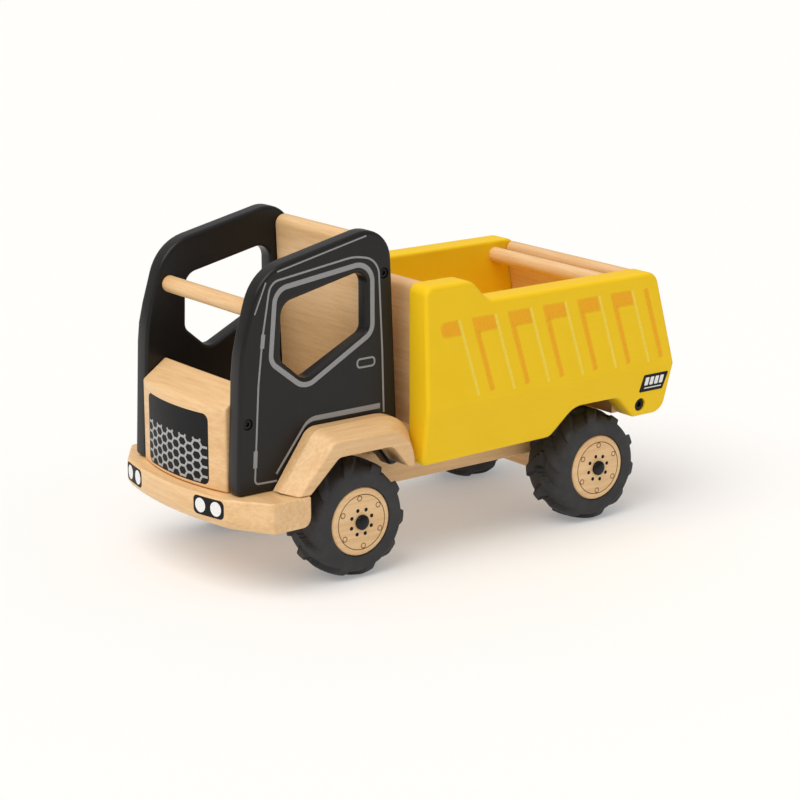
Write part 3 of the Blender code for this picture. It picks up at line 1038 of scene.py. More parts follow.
@dataclass
class Chassis:
    """The long board under everything, with its axle blocks, axles and the pivot bar."""

    shop: Workshop
    edge: float = 1.6
    corner: float = 2.5

    def build(self) -> None:
        """Make the board anew and refinish the pieces under it."""
        low, high = self.shop.box("chassis_board")
        outline = rounded_box((low.x, low.y), (high.x, high.y), self.corner)
        steps = rounding(self.edge, 4)
        deck = board(outline, high.z - low.z, steps, steps)
        self.shop.piece("chassis_deck", deck, level(low.z), LONG_BEECH, "chassis", ["chassis_board"])
        for end in ("front", "rear"):
            self.shop.refinish(f"{end}_axle_block", CROSS_BEECH)
            self.shop.refinish(f"{end}_axle", BRIGHT_STEEL)
            for side in Side:
                self.shop.refinish(f"{end}_block_screw_{side.word}", BLACK_STEEL)
        self.shop.refinish("pivot_bar", CROSS_BEECH)
        for side in Side:
            for peg in ("bumper_peg", "grille_board_peg", "rear_wall_peg"):
                self.shop.refinish(f"{peg}_{side.word}", LONG_BEECH)


@dataclass
class Bumper:
    """The thick bowed board across the front, with two pairs of printed headlights."""

    shop: Workshop
    corner_y: float = 53.0
    corner_x: float = 80.4
    side_x: float = 63.0
    lamp_y: tuple[float, float] = (34.3, 46.6)
    lamp_half: tuple[float, float] = (4.1, 4.3)
    panel_y: tuple[float, float] = (28.6, 52.6)
    panel_z: tuple[float, float] = (45.8, 56.9)
    panel_round: float = 3.0
    chamfer: float = 5.0
    back_round: float = 6.0
    cuts: Sequence[float] = (0.3, 0.45, 0.6, 0.8, 0.9, 1.0, 1.1, 1.2)

    def front_x(self, y: float) -> float:
        """The bow of the front face.

        Args:
            y: the place across the truck.

        Returns:
            The front face's x.
        """
        _, high = self.shop.box("front_bumper")
        bow = high.x - self.corner_x
        return high.x - bow * (y / self.corner_y) ** 2

    def outline(self) -> list[Vector]:
        """The bumper's plan, anticlockwise from its back right corner.

        Returns:
            The plan's points.
        """
        low, high = self.shop.box("front_bumper")
        half = high.y
        bowed = [Vector((self.front_x(y), y)) for y in stations(-self.corner_y, self.corner_y, 24)]
        right = drawn(
            (
                (low.x, -half + 10, 0),
                (low.x, -half, 2.3),
                (self.side_x, -half, 2.6),
                (self.corner_x, -self.corner_y, 7.0),
                (bowed[0].x, bowed[0].y, 0),
            ),
            closed=False,
        )[1:-1]
        left = [Vector((point.x, -point.y)) for point in reversed(right)]
        return right + bowed + left

    def tapered(self, a: float, b: float, h: float) -> Vector:
        """The bench at the bumper's underside: a chamfer under its front, and a round under its back.

        Args:
            a: the place along the truck.
            b: the place across it.
            h: the height above the bumper's underside.

        Returns:
            The point on the truck.
        """
        low, high = self.shop.box("front_bumper")
        middle, half = (high.x + low.x) / 2, (high.x - low.x) / 2
        if a > middle:
            drawn_in = self.chamfer * (1 - smooth_corner(h / self.chamfer))
        else:
            level_off = min(1.0, max(0.0, 1 - h / self.back_round))
            drawn_in = self.back_round * (1 - math.sqrt(1 - level_off**2))
        return Vector((middle + (a - middle) * (1 - drawn_in / half), b, low.z + h))

    def front(self, a: float, b: float, h: float) -> Vector:
        """The bench wrapped on the bumper's front and its corner facets.

        Args:
            a: the place across the truck.
            b: the height above the floor.
            h: the height above the front face.

        Returns:
            The point on the truck.
        """
        if abs(a) <= self.corner_y:
            return Vector((self.front_x(a) + h, a, b))
        _, high = self.shop.box("front_bumper")
        slope = (self.corner_x - self.side_x) / (high.y - self.corner_y)
        return Vector((self.corner_x - slope * (abs(a) - self.corner_y) + h, a, b))

    def build(self) -> None:
        """The board and its headlights."""
        low, high = self.shop.box("front_bumper")
        thick = board(self.outline(), high.z - low.z, rounding(1.5), rounding(1.2, 4))
        sliced(thick, Axis.Z, [self.chamfer * share for share in self.cuts])
        self.shop.piece("bumper_board", thick, self.tapered, CROSS_BEECH, "chassis", ["front_bumper"])
        for side in Side:
            ends = sorted(side.value * y for y in self.panel_y)
            foot, head = self.panel_z
            panel = rounded_box((ends[0], foot), (ends[1], head), self.panel_round)
            dark = sliced(patch(panel, 0.12, -0.06), Axis.X, stations(*ends, 16))
            self.shop.piece(f"headlight_panel_{side.word}", dark, self.front, BLACK_INK, "chassis")
            middle = (foot + head) / 2
            lamps = [oval(side.value * y, middle, *self.lamp_half) for y in self.lamp_y]
            glass = joined([patch(lamp, 0.20, -0.04) for lamp in lamps])
            self.shop.piece(f"headlamps_{side.word}", glass, self.front, WHITE_INK, "chassis")


@dataclass
class GrilleBoard:
    """The thick bonnet board, bowed in front and sloped on top, with a printed grille."""

    shop: Workshop
    edge_x: float = 73.0
    crest_z: float = 120.2
    brow_z: float = 108.0
    half_print: float = 32.4
    print_shift: float = -0.8
    print_z: tuple[float, float] = (60.8, 102.9)
    print_round: float = 4.2
    columns: int = 10
    cell: tuple[float, float] = (6.5, 5.85)
    first_cell_z: float = 62.4
    rows: int = 5
    wire: float = 1.45

    def bow(self, y: float) -> float:
        """How far the front stands out at y."""
        _, high = self.shop.box("grille_board")
        return (high.x - self.edge_x) * (1 - (y / high.y) ** 2)

    def front(self, a: float, b: float, h: float) -> Vector:
        """The bench wrapped on the board's front, a going left from the print's middle."""
        y = a + self.print_shift
        return Vector((self.edge_x + self.bow(y) + h, y, b))

    def build(self) -> None:
        """The board, the black panel on it and the silver mesh."""
        low, high = self.shop.box("grille_board")
        profile = drawn(
            (
                (low.x, low.z, 1.4),
                (self.edge_x, low.z, 1.4),
                (self.edge_x, self.brow_z, 2.2),
                (low.x, self.crest_z, 1.6),
            )
        )
        steps = rounding(1.1, 4)
        thick = board(profile, high.y - low.y, steps, steps)
        sliced(thick, Axis.Z, stations(0, high.y - low.y, 28))

        def bowed(a: float, b: float, h: float) -> Vector:
            """The bench across the cab, with its front drawn out.

            Args:
                a: the place along the truck.
                b: the height above the floor.
                h: the place across the cab, from its right.

            Returns:
                The point on the truck.
            """
            y = low.y + h
            share = (a - low.x) / (self.edge_x - low.x)
            return Vector((a + share * self.bow(y), y, b))

        self.shop.piece("bonnet_board", thick, bowed, CROSS_BEECH, "chassis", ["grille_board"])
        half, (foot, head) = self.half_print, self.print_z
        panel = rounded_box((-half, foot), (half, head), self.print_round)
        dark = sliced(patch(panel, 0.10, -0.05), Axis.X, stations(-half, half, 24))
        self.shop.piece("grille_panel", dark, self.front, BLACK_INK, "chassis")
        self.shop.piece("grille_mesh", self.mesh(), self.front, PALE_INK, "chassis")

    def mesh(self) -> bmesh.types.BMesh:
        """Silver wires round flat-topped six-sided cells, in staggered columns open at the top.

        Returns:
            The wires' solids.
        """
        pitch_a, pitch_b = self.cell
        reach = pitch_a * 2 / 3
        side_knots = ((reach, 0), (reach / 2, pitch_b / 2), (-reach / 2, pitch_b / 2), (-reach, 0))
        knots = [Vector(knot) for knot in side_knots]
        wires = []
        for column in range(self.columns):
            middle = pitch_a * (column - (self.columns - 1) / 2)
            high_column = column % 2 == 1
            foot = self.first_cell_z - pitch_b * (0 if high_column else 0.5)
            for row in range(self.rows):
                corners = [Vector((middle, foot + pitch_b * row)) + knot for knot in knots]
                runs = list(zip(corners, corners[1:]))
                if high_column and row == self.rows - 1:
                    runs = [(corners[i], corners[i].lerp(corners[j], 0.5)) for i, j in ((0, 1), (3, 2))]
                for first, second in runs:
                    wires += self.wire_within(first, second)
        return joined(wires)

    def wire_within(self, first: Vector, second: Vector) -> list[bmesh.types.BMesh]:
        """The part of a wire that lies on the print, as a list that is empty where none does.

        Args:
            first: one end of the wire.
            second: the other end.

        Returns:
            The wire's solid, or nothing.
        """
        spots = [first.lerp(second, step / 16) for step in range(17)]
        kept = [spot for spot in spots if self.printed(spot)]
        if len(kept) < 3:
            return []
        return [ribbon([kept[0], kept[-1]], (self.wire, self.wire), 0.06, lift=0.04)]

    def printed(self, spot: Vector) -> bool:
        """Whether a spot is well inside the print's rounded outline.

        Args:
            spot: the spot on the bench.

        Returns:
            Whether the ink reaches it.
        """
        foot, head = self.print_z
        radius = self.print_round
        past_a = max(0.0, abs(spot.x) - (self.half_print - radius))
        past_b = max(0.0, foot + radius - spot.y, spot.y - head + radius)
        return math.hypot(past_a, past_b) < radius - self.wire / 2


@dataclass
class CabSide:
    """One black side of the cab, with its window, screws and printed door."""

    shop: Workshop
    side: Side
    edge: float = 2.1
    outline: Sequence[Corner] = (
        (72.9, 58.5, 3.2),
        (69.5, 140.0, 90.0),
        (55.3, 186.5, 30.0),
        (-35.2, 206.2, 19.0),
        (-41.5, 58.5, 3.2),
        (-35.2, 58.5, 3.2),
        (-21.5, 77.2, 6.0),
        (16.5, 77.2, 6.0),
        (36.6, 58.5, 3.2),
    )
    window: Sequence[Corner] = (
        (25.5, 119.8, 8.0),
        (42.0, 134.0, 6.0),
        (41.0, 166.6, 9.0),
        (-19.3, 179.6, 8.0),
        (-19.3, 142.0, 6.0),
    )
    trim: Sequence[Corner] = (
        (26.0, 115.4, 11.0),
        (49.3, 134.0, 8.0),
        (45.5, 175.4, 10.0),
        (-22.2, 184.0, 11.0),
        (-22.2, 141.7, 9.0),
    )
    door: Sequence[Corner] = (
        (46.0, 64.0, 0),
        (61.2, 64.4, 2.5),
        (57.8, 122.0, 60.0),
        (54.4, 150.0, 40.0),
        (48.8, 180.0, 8.0),
        (-9.0, 187.8, 30.0),
        (-26.6, 184.4, 12.0),
        (-29.2, 130.0, 200.0),
        (-30.2, 92.2, 0),
    )
    arch_line: Sequence[Corner] = (
        (-27.5, 96.6, 0),
        (24.0, 96.6, 11.0),
        (46.4, 68.2, 0),
    )
    handle: Sequence[Corner] = (
        (-23.6, 121.7, 2.1),
        (-11.2, 121.7, 2.1),
        (-11.2, 126.7, 2.1),
        (-23.6, 126.7, 2.1),
    )
    hinges: Sequence[tuple[float, float, float, float]] = (
        (55.0, 143.0, 54.0, 151.0),
        (60.9, 74.0, 60.4, 84.0),
    )
    # The glints are painted highlights: silver ink strips where the roof's rounded edge catches the light.
    glints: Sequence[tuple[float, float, float, float]] = (
        (59.6, 163.0, 51.8, 180.4),
        (44.0, 185.6, -18.0, 198.9),
    )
    screws: Sequence[tuple[float, float]] = ((65.3, 100.3), (-30.6, 175.5))
    screw_sink: float = 0.7
    well_radius: float = 3.35
    well_depth: float = 2.8
    ink: float = 0.06

    def build(self) -> None:
        """The board, its screws and its prints."""
        low, high = self.shop.box(f"cab_side_{self.side.word}")
        inner, outer = sorted((abs(low.y), abs(high.y)))
        steps = rounding(self.edge)
        # The outline runs clockwise here, and the window has to run the same way round.
        slab = board(drawn(self.outline), outer - inner, steps, steps, hole=drawn(self.window))
        head = ScrewHead()
        wells = []
        wide, deep = self.well_radius, -self.well_depth
        for x, z in self.screws:
            well = turned(((0, 1.0), (wide, 1.0), (wide, deep), (0, deep)), 32, closed=False)
            wells.append(self.shop.laid(well, head.place(self.side, x, outer, z)))
        word = self.side.word
        self.shop.piece(
            f"cab_panel_{word}",
            slab,
            upright(self.side, inner),
            BLACK_PAINT,
            "chassis",
            [f"cab_side_{word}"],
            wells,
        )
        for end, (x, z) in zip(("front", "rear"), self.screws):
            place = head.place(self.side, x, outer - self.screw_sink, z)
            recess = self.shop.laid(head.recess(), place)
            self.shop.piece(
                f"cab_screw_head_{end}_{word}",
                head.shape(),
                place,
                BLACK_STEEL,
                "chassis",
                [f"cab_screw_{end}_{word}"],
                [recess],
            )
        self.prints(upright(self.side, outer))

    def prints(self, face: Place) -> None:
        """The door's outline, the window's trim, the handle, the hinges, and the glints: silver strips that
        paint the highlight along the roof's edge.

        Args:
            face: the board's outer face.
        """
        ink, lift = 2 * self.ink, -self.ink
        trim = drawn(self.trim)
        door = drawn(self.door, closed=False)
        layers = {
            "window_trim": [ribbon(trim, (3.0, 3.0), ink, closed=True, lift=lift)],
            "door_line": [ribbon(door, (1.15, 1.15), ink, lift=lift)],
            "arch_trim": [ribbon(drawn(self.arch_line, closed=False), (3.2, 1.3), ink, lift=lift)],
            "door_handle": [ribbon(drawn(self.handle), (1.1, 1.1), ink, closed=True, lift=lift)],
            "door_hinges": [
                ribbon([Vector((a, b)), Vector((c, d))], (2.6, 2.6), 2 * ink, lift=lift)
                for a, b, c, d in self.hinges
            ],
            # Painted highlights along the roof's edge, in the same silver ink as the door's print.
            "roof_glints": [
                ribbon([Vector((a, b)), Vector((c, d))], (0.9, 0.9), ink, lift=lift)
                for a, b, c, d in self.glints
            ],
        }
        for name, shapes in layers.items():
            self.shop.piece(f"{name}_{self.side.word}", joined(shapes), face, SILVER_INK, "chassis")


@dataclass
class CabFittings:
    """The cab's rear wall and the round bar over its windscreen."""

    shop: Workshop
    foot_x: tuple[float, float] = (-28.1, -40.3)
    foot_round: float = 1.2
    crest_x: tuple[float, float] = (-22.7, -34.9)
    crest_round: float = 5.8

    def build(self) -> None:
        """The wall and the bar."""
        low, high = self.shop.box("cab_rear_wall")
        profile = drawn(
            (
                (self.foot_x[0], low.z, self.foot_round),
                (self.crest_x[0], high.z, self.crest_round),
                (self.crest_x[1], high.z, self.crest_round),
                (self.foot_x[1], low.z, self.foot_round),
            )
        )
        steps = rounding(0.8, 3)
        wall = board(profile, high.y - low.y, steps, steps)
        self.shop.piece("cab_back_board", wall, across(low.y), CROSS_BEECH, "chassis", ["cab_rear_wall"])
        round_bar(self.shop, "windscreen_rail", "windscreen_bar", "chassis")


def round_bar(shop: Workshop, name: str, node: str, body: str) -> None:
    """A smooth round bar across the truck in the place of a CAD bar.

    Args:
        shop: the workshop.
        name: the new piece's name.
        node: the CAD bar's name.
        body: the CAD body that it moves with.
    """
    low, high = shop.box(node)
    middle = (low + high) / 2
    radius = (high.z - low.z) / 2
    length = high.y - low.y
    profile = soft_profile(((0, length, 0), (radius, length, 0.6), (radius, 0, 0.6), (0, 0, 0)))
    bar = turned(profile, 64, closed=False)

    def crosswise(a: float, b: float, h: float) -> Vector:
        """The bench upright across the truck, centred on the bar."""
        return Vector((middle.x + a, low.y + h, middle.z + b))

    shop.piece(name, bar, crosswise, CROSS_BEECH, body, [node])


@dataclass
class WheelGuard:
    """One wooden guard over a front wheel: level on top, sloping in front and behind."""

    shop: Workshop
    side: Side
    flat_y: float = 64.5
    soft: float = 1.1
    arch: Sequence[Corner] = (
        (-33.5, 62.8, 0),
        (-21.5, 77.2, 6.0),
        (16.5, 77.2, 6.0),
        (36.8, 58.5, 0),
    )
    inner: Sequence[Corner] = (
        (50.0, 58.5, 0),
        (25.5, 92.8, 10.0),
        (-42.8, 92.8, 21.0),
        (-43.7, 62.8, 0),
    )
    outer: Sequence[Corner] = (
        (45.0, 58.5, 0),
        (19.7, 86.2, 9.0),
        (-36.0, 86.2, 20.0),
        (-37.5, 62.8, 0),
    )

    def build(self) -> None:
        """The guard, from its flat band to its smaller outer face."""
        low, high = self.shop.box(f"fender_{self.side.word}")
        inside, outside = sorted((abs(low.y), abs(high.y)))
        wide = self.even_outline(self.inner)
        narrow = self.even_outline(self.outer)
        shape = bmesh.new()
        flat_faces(shape, wide)
        ring = list(shape.verts)
        cap = next(iter(shape.faces))
        for height, outline in ((self.flat_y - inside, wide), (outside - inside, narrow)):
            grown = bmesh.ops.extrude_face_region(shape, geom=[cap])["geom"]
            cap = next(face for face in grown if isinstance(face, bmesh.types.BMFace))
            raised = [v for v in grown if isinstance(v, bmesh.types.BMVert)]
            follow = {
                min(raised, key=lambda v, old=old: (v.co - old.co).length): spot
                for old, spot in zip(ring, outline)
            }
            for vert, spot in follow.items():
                vert.co = (*spot, height)
            ring = list(follow)
        outward(shape)
        crisp = [e for e in shape.edges if e.is_manifold and e.calc_face_angle(0) > math.radians(24)]
        bmesh.ops.bevel(
            shape, geom=crisp, offset=self.soft, segments=4, profile=0.5, affect="EDGES", material=-1
        )
        word = self.side.word
        self.shop.piece(
            f"wheel_guard_{word}",
            shape,
            upright(self.side, inside),
            LONG_BEECH,
            "chassis",
            [f"fender_{word}"],
            flat=True,
        )

    def even_outline(self, upper: Sequence[Corner]) -> list[Vector]:
        """The outline of a section, with as many points in every section.

        Args:
            upper: the corners of the section's outer line.

        Returns:
            The outline's points.
        """
        points = []
        corners = [*self.arch, *upper]
        places = [Vector(corner[:2]) for corner in corners]
        for i, (a, b, radius) in enumerate(corners):
            if not radius:
                points.append(Vector((a, b)))
                continue
            arc = corner_arc(places[i - 1], places[i], places[(i + 1) % len(places)], radius)
            for step in range(9):
                spot = step / 8 * (len(arc) - 1)
                low = min(int(spot), len(arc) - 2)
                points.append(arc[low].lerp(arc[low + 1], spot - low))
        return points


@dataclass
class Wheel:
    """One wheel: a turned wooden hub in a moulded tyre with slanting tread blocks."""

    shop: Workshop
    end: str
    side: Side
    turn: float
    lugs: int = 10
    lug_height: float = 2.7
    slant: float = 0.42
    around: int = 360
    hub_proud: float = 0.3
    bead: float = 5.2
    bead_insets: tuple[float, float] = (1.5, 0.6)
    fullness: tuple[float, float] = (2.9, 2.6)
    axle_bore: float = 3.3
    rim_rounds: tuple[float, float] = (2.4, 1.2)
    line_width: float = 0.5
    dot_radius: float = 1.2
    notch_radius: float = 1.5
    dots: int = 8
    dot_ring: float = 7.7
    line_ring: float = 16.6
    notches: int = 6
    place: Place = field(init=False)
    body: str = field(init=False)

    def build(self) -> None:
        """The tyre, the hub, its prints and the axle cap."""
        x = 0.0 if self.end == "front" else self.shop.rear_axle_x
        self.place = wheel_place(self.side, x, self.shop.axle_z, self.turn)
        self.body = f"{self.end}_wheel_{self.side.word}"
        self.tyre()
        self.hub()
        self.cap(wheel_place(self.side, x, self.shop.axle_z))

    def extents(self, piece: str) -> tuple[float, float, float]:
        """A round CAD node's inner y, outer y and radius.

        Args:
            piece: the node's name, without its end and side.

        Returns:
            The three sizes.
        """
        low, high = self.shop.box(f"{self.end}_{piece}_{self.side.word}")
        inner, outer = sorted((abs(low.y), abs(high.y)))
        return inner, outer, (high.z - low.z) / 2

    def tyre(self) -> None:
        """A ring of rubber, with its tread blocks raised from the carcass."""
        inner, outer, radius = self.extents("tyre")
        _, hub_face, hub_radius = self.extents("hub")
        outer = hub_face - self.hub_proud
        bore = hub_radius + 0.3
        middle, half = (inner + outer) / 2, (outer - inner) / 2
        carcass = radius - self.lug_height
        waist = bore + self.bead
        crown = carcass - waist
        profile = []
        for i in range(33):
            t = math.pi * i / 32
            swell_r = abs(math.sin(t)) ** (2 / self.fullness[0])
            swell_y = math.copysign(abs(math.cos(t)) ** (2 / self.fullness[1]), math.cos(t))
            profile.append((waist + crown * swell_r, middle + half * swell_y))
        for i in range(1, 6):
            t = math.pi / 2 * i / 5
            profile.append((waist - self.bead * math.sin(t), inner + self.bead_insets[0] * (1 - math.cos(t))))
        for i in range(5, 0, -1):
            t = math.pi / 2 * i / 5
            profile.append((waist - self.bead * math.sin(t), outer - self.bead_insets[1] * (1 - math.cos(t))))
        shape = turned(profile, self.around, closed=True)
        for vert in shape.verts:
            a, b, y = vert.co
            r = math.hypot(a, b)
            if r < waist:
                continue
            v = (y - middle) / half
            lift = self.lug_height * self.tread(math.atan2(b, a), v, (r - waist) / crown)
            out = Vector(((r - waist) / crown**2, (y - middle) / half**2)).normalized()
            vert.co = (a * (1 + out.x * lift / r), b * (1 + out.x * lift / r), y + out.y * lift * 0.25)
        self.shop.piece(
            f"{self.body}_tyre", shape, self.place, RUBBER, self.body, [f"{self.end}_tyre_{self.side.word}"]
        )

    def tread(self, angle: float, v: float, crown: float) -> float:
        """How much a tread block raises the carcass: 0 between the blocks, and 1 on them.

        Args:
            angle: the angle round the axle.
            v: the place across the tyre, from -1 at its inner side to 1 at its outer side.
            crown: the place up the sidewall, from 0 at its foot to 1 at the tread.

        Returns:
            The share of the tread's full height.
        """
        pitch = 2 * math.pi / self.lugs
        raised = 0.0
        for hand in (1, -1):
            w = v * hand
            shift = 0.0 if hand > 0 else pitch / 2
            offset = (angle - shift + self.slant * w) % pitch
            offset = min(offset, pitch - offset) / pitch
            wide = 0.23 - 0.05 * w
            body = 1 - smooth(wide - 0.03, wide + 0.01, offset)
            start = smooth(-0.16, -0.06, w)
            raised = max(raised, body * start)
        return raised * smooth(0.45, 0.80, crown)

    def hub(self) -> None:
        """A disc of beech with a rounded rim, a burnt ring and dots round the axle."""
        inner, outer, radius = self.extents("hub")
        profile = soft_profile(
            (
                (self.axle_bore, outer, 0),
                (radius, outer, self.rim_rounds[0]),
                (radius, inner, self.rim_rounds[1]),
                (self.axle_bore, inner, 0),
            )
        )
        hub = turned(profile, 128, closed=True)
        node = f"{self.end}_hub_{self.side.word}"
        self.shop.piece(f"{self.body}_hub", hub, self.place, TURNED_BEECH, self.body, [node])

        def face(a: float, b: float, h: float) -> Vector:
            """The bench on the hub's outer face."""
            return self.place(a, b, outer + h)

        rings = [oval(0, 0, self.line_ring, self.line_ring, 96)]
        for i in range(self.notches):
            middle = self.around_hub(i, self.notches, self.line_ring - 2.0)
            rings.append(oval(*middle, self.notch_radius, self.notch_radius, 20))
        widths = (self.line_width, self.line_width)
        lines = joined([ribbon(ring, widths, 0.06, closed=True, lift=-0.03) for ring in rings])
        self.shop.piece(f"{self.body}_burnt_rings", lines, face, BURNT_INK, self.body)
        centres = [self.around_hub(i, self.dots, self.dot_ring) for i in range(self.dots)]
        round_spot = (self.dot_radius, self.dot_radius, 20)
        spots = [patch(oval(*centre, *round_spot), 0.06, -0.03) for centre in centres]
        self.shop.piece(f"{self.body}_dots", joined(spots), face, BLACK_INK, self.body)

    def around_hub(self, step: int, steps: int, radius: float) -> tuple[float, float]:
        """One of an even ring of places round the axle."""
        angle = 2 * math.pi * step / steps
        return radius * math.cos(angle), radius * math.sin(angle)

    def cap(self, place: Place) -> None:
        """The domed black cap on the axle's end.

        Args:
            place: the axle's place, without the wheel's turn.
        """
        inner, outer, radius = self.extents("axle_cap")
        height = outer - inner
        profile = soft_profile(
            (
                (0, outer, 0),
                (radius * 0.55, outer - 0.08, 4.0),
                (radius, outer - height * 0.45, 0.7),
                (radius, inner, 0),
                (3.1, inner, 0),
                (3.1, inner + 1.2, 0),
                (0, inner + 1.2, 0),
            )
        )
        shape = turned(profile, 48, closed=False)
        node = f"{self.end}_axle_cap_{self.side.word}"
        self.shop.piece(f"{node}_dome", shape, place, BLACK_STEEL, "chassis", [node])


@dataclass
class BodySide:
    """One yellow side of the load body, folded outward along a crease, with printed ribs."""

    shop: Workshop
    side: Side
    crease_z: float = 95.2
    top_y: float = 77.5
    bottom_y: float = 75.0
    fold_soft: float = 0.8
    edge: float = 2.6
    outline: Sequence[Corner] = (
        (-44.5, 60.0, 4.0),
        (-44.5, 168.7, 6.0),
        (-79.0, 168.7, 12.0),
        (-91.5, 155.4, 8.0),
        (-226.2, 155.4, 9.0),
        (-241.5, 95.2, 6.0),
        (-236.8, 62.8, 9.0),
        (-212.0, 62.8, 5.0),
        (-197.0, 78.3, 8.0),
        (-161.0, 78.3, 16.0),
        (-143.5, 61.5, 8.0),
    )
    ribs: int = 6
    first_rib: float = -68.7
    rib_pitch: float = 27.3
    rib_lean: float = 14.2
    rib_z: tuple[float, float] = (146.3, 98.8)
    shade_gap: float = 11.0
    shade_foot: float = 100.5
    block_z: tuple[float, float] = (137.6, 145.8)
    pivot: tuple[float, float] = (-216.0, 71.0)
    screw_y: float = 75.4
    well_y: float = 73.1
    well_radius: float = 4.3
    top_z: float = 168.7
    foot_z: float = 61.5
    ink_foot: float = -0.06
    rib_ink: float = 0.12
    shade_ink: float = 0.10
    halo_ink: float = 0.07
    label: Sequence[Corner] = (
        (-213.6, 79.2, 1.0),
        (-216.4, 90.5, 1.0),
        (-237.0, 90.5, 1.0),
        (-233.4, 79.2, 1.0),
    )
    label_ink: float = 0.16
    label_bars: int = 4
    bar_start: float = -217.4
    bar_pitch: float = 4.1
    inner: float = field(init=False)
    crease_y: float = field(init=False)

    def __post_init__(self) -> None:
        """Read the crease's reach from the CAD node."""
        low, high = self.shop.box(f"body_side_{self.side.word}")
        self.inner, self.crease_y = sorted((abs(low.y), abs(high.y)))

    def reach(self, z: float) -> float:
        """How far out the side's face is at a height, with the fold a little softened.

        Args:
            z: the height above the floor.

        Returns:
            The face's distance from the truck's middle.
        """
        upper = (self.crease_y - self.top_y) / (self.top_z - self.crease_z)
        lower = (self.crease_y - self.bottom_y) / (self.crease_z - self.foot_z)
        off = z - self.crease_z
        slope = upper if off > 0 else lower
        soft = self.fold_soft
        distance = abs(off) if abs(off) > soft else (off * off + soft * soft) / (2 * soft)
        return self.crease_y - slope * (distance - soft / 2)

    def face(self, a: float, b: float, h: float) -> Vector:
        """The bench wrapped on the outer face."""
        return Vector((a, self.side.value * (self.reach(b) + h), b))

    def build(self) -> None:
        """The board, its pivot screw and its prints."""
        steps = rounding(self.edge)
        full = self.crease_y - self.inner
        slab = board(drawn(self.outline), full, steps, rounding(2.2))
        soft = self.fold_soft
        sliced(slab, Axis.Y, [self.crease_z + soft * share for share in (-2, -1, -0.5, 0, 0.5, 1, 2)])

        def folded(a: float, b: float, h: float) -> Vector:
            """The bench as an upright plane whose outer half follows the fold.

            Args:
                a: the place along the truck.
                b: the height above the floor.
                h: the height above the board's inner face.

            Returns:
                The point on the truck.
            """
            share = min(1.0, h / (full - self.edge))
            y = self.inner + h + share * (self.reach(b) - self.crease_y)
            return Vector((a, self.side.value * y, b))

        word = self.side.word
        head = ScrewHead(radius=3.9, height=2.0, socket=1.9)
        x, z = self.pivot
        wide = self.well_radius
        well = turned(((0, 9.0), (wide, 9.0), (wide, 0), (0, 0)), 40, closed=False)
        drill = self.shop.laid(well, head.place(self.side, x, self.well_y, z))
        self.shop.piece(
            f"load_side_{word}",
            slab,
            folded,
            YELLOW_PAINT,
            "dump_body",
            [f"body_side_{word}"],
            [drill],
        )
        place = head.place(self.side, x, self.screw_y, z)
        recess = self.shop.laid(head.recess(1.3), place)
        self.shop.piece(
            f"pivot_screw_head_{word}",
            head.shape(),
            place,
            BLACK_STEEL,
            "dump_body",
            [f"pivot_screw_{word}"],
            [recess],
        )
        self.prints()

    def slanted(self, x: float, z: float) -> Vector:
        """A point of the rib pattern: x at the ribs' tops, slanting back below them."""
        drop = (self.rib_z[0] - z) / (self.rib_z[0] - self.rib_z[1])
        return Vector((x - self.rib_lean * drop, z))

    def block(self, rear: float, front: float, lower: float, upper: float, first: bool) -> list[Vector]:
        """The outline of a shaded block between two ribs, or in front of the first one.

        Args:
            rear: the x of its rear end, at the ribs' tops.
            front: the same of its front end.
            lower: the height of its foot.
            upper: the height of its top.
            first: whether it stands in front of the first rib.

        Returns:
            The outline's points.
        """
        nose = 3.9 if first else 1.0
        corners = (
            (self.slanted(rear, lower), 0.8),
            (self.slanted(front, lower), nose),
            (self.slanted(front, upper), nose),
            (self.slanted(rear, upper), 0.8),
        )
        return drawn([(*spot, radius) for spot, radius in corners])

    def prints(self) -> None:
        """Bright ribs, their orange shades with a block at the top, and a dark label."""
        word = self.side.word
        ribs, shades, halos = [], [], []
        lower, upper = self.block_z
        foot = self.ink_foot
        for i in range(self.ribs):
            x = self.first_rib - self.rib_pitch * i
            rib = [self.slanted(x, z) for z in self.rib_z]
            ribs.append(ribbon(rib, (1.9, 1.9), self.rib_ink, lift=foot))
            top = lower if i < self.ribs - 1 else upper
            shade = [self.slanted(x - self.shade_gap, z) for z in (top, self.shade_foot)]
            shades.append(ribbon(shade, (2.4, 2.2), self.shade_ink, lift=foot))
            halos.append(ribbon(shade, (4.2, 4.0), self.halo_ink, lift=foot))
            front = x + self.rib_pitch - self.shade_gap + 1.2 if i else x + 14.4
            shades.append(patch(self.block(x + 1.3, front, lower, upper, i == 0), self.shade_ink, foot))
            halo = self.block(x + 0.7, front + 0.9, lower - 0.9, upper + 0.9, i == 0)
            halos.append(patch(halo, self.halo_ink, foot))
        self.shop.piece(f"bright_ribs_{word}", joined(ribs), self.face, LEMON_INK, "dump_body")
        self.shop.piece(f"rib_shades_{word}", joined(shades), self.face, ORANGE_INK, "dump_body")
        self.shop.piece(f"rib_halos_{word}", joined(halos), self.face, AMBER_INK, "dump_body")
        label = patch(drawn(self.label), self.label_ink, foot)
        self.shop.piece(f"rear_label_{word}", label, self.face, BLACK_INK, "dump_body")
        bars = []
        for i in range(self.label_bars):
            left = self.bar_start - self.bar_pitch * i
            corners = ((left, 83.4), (left - 0.9, 88.6), (left - 3.9, 88.6), (left - 3.0, 83.4))
            bar = drawn([(*corner, 0.5) for corner in corners])
            bars.append(patch(bar, 0.05, 0.09))
        bars.append(ribbon([Vector((-217.8, 81.6)), Vector((-232.0, 81.6))], (0.7, 0.7), 0.05, lift=0.09))
        self.shop.piece(f"rear_label_marks_{word}", joined(bars), self.face, WHITE_INK, "dump_body")


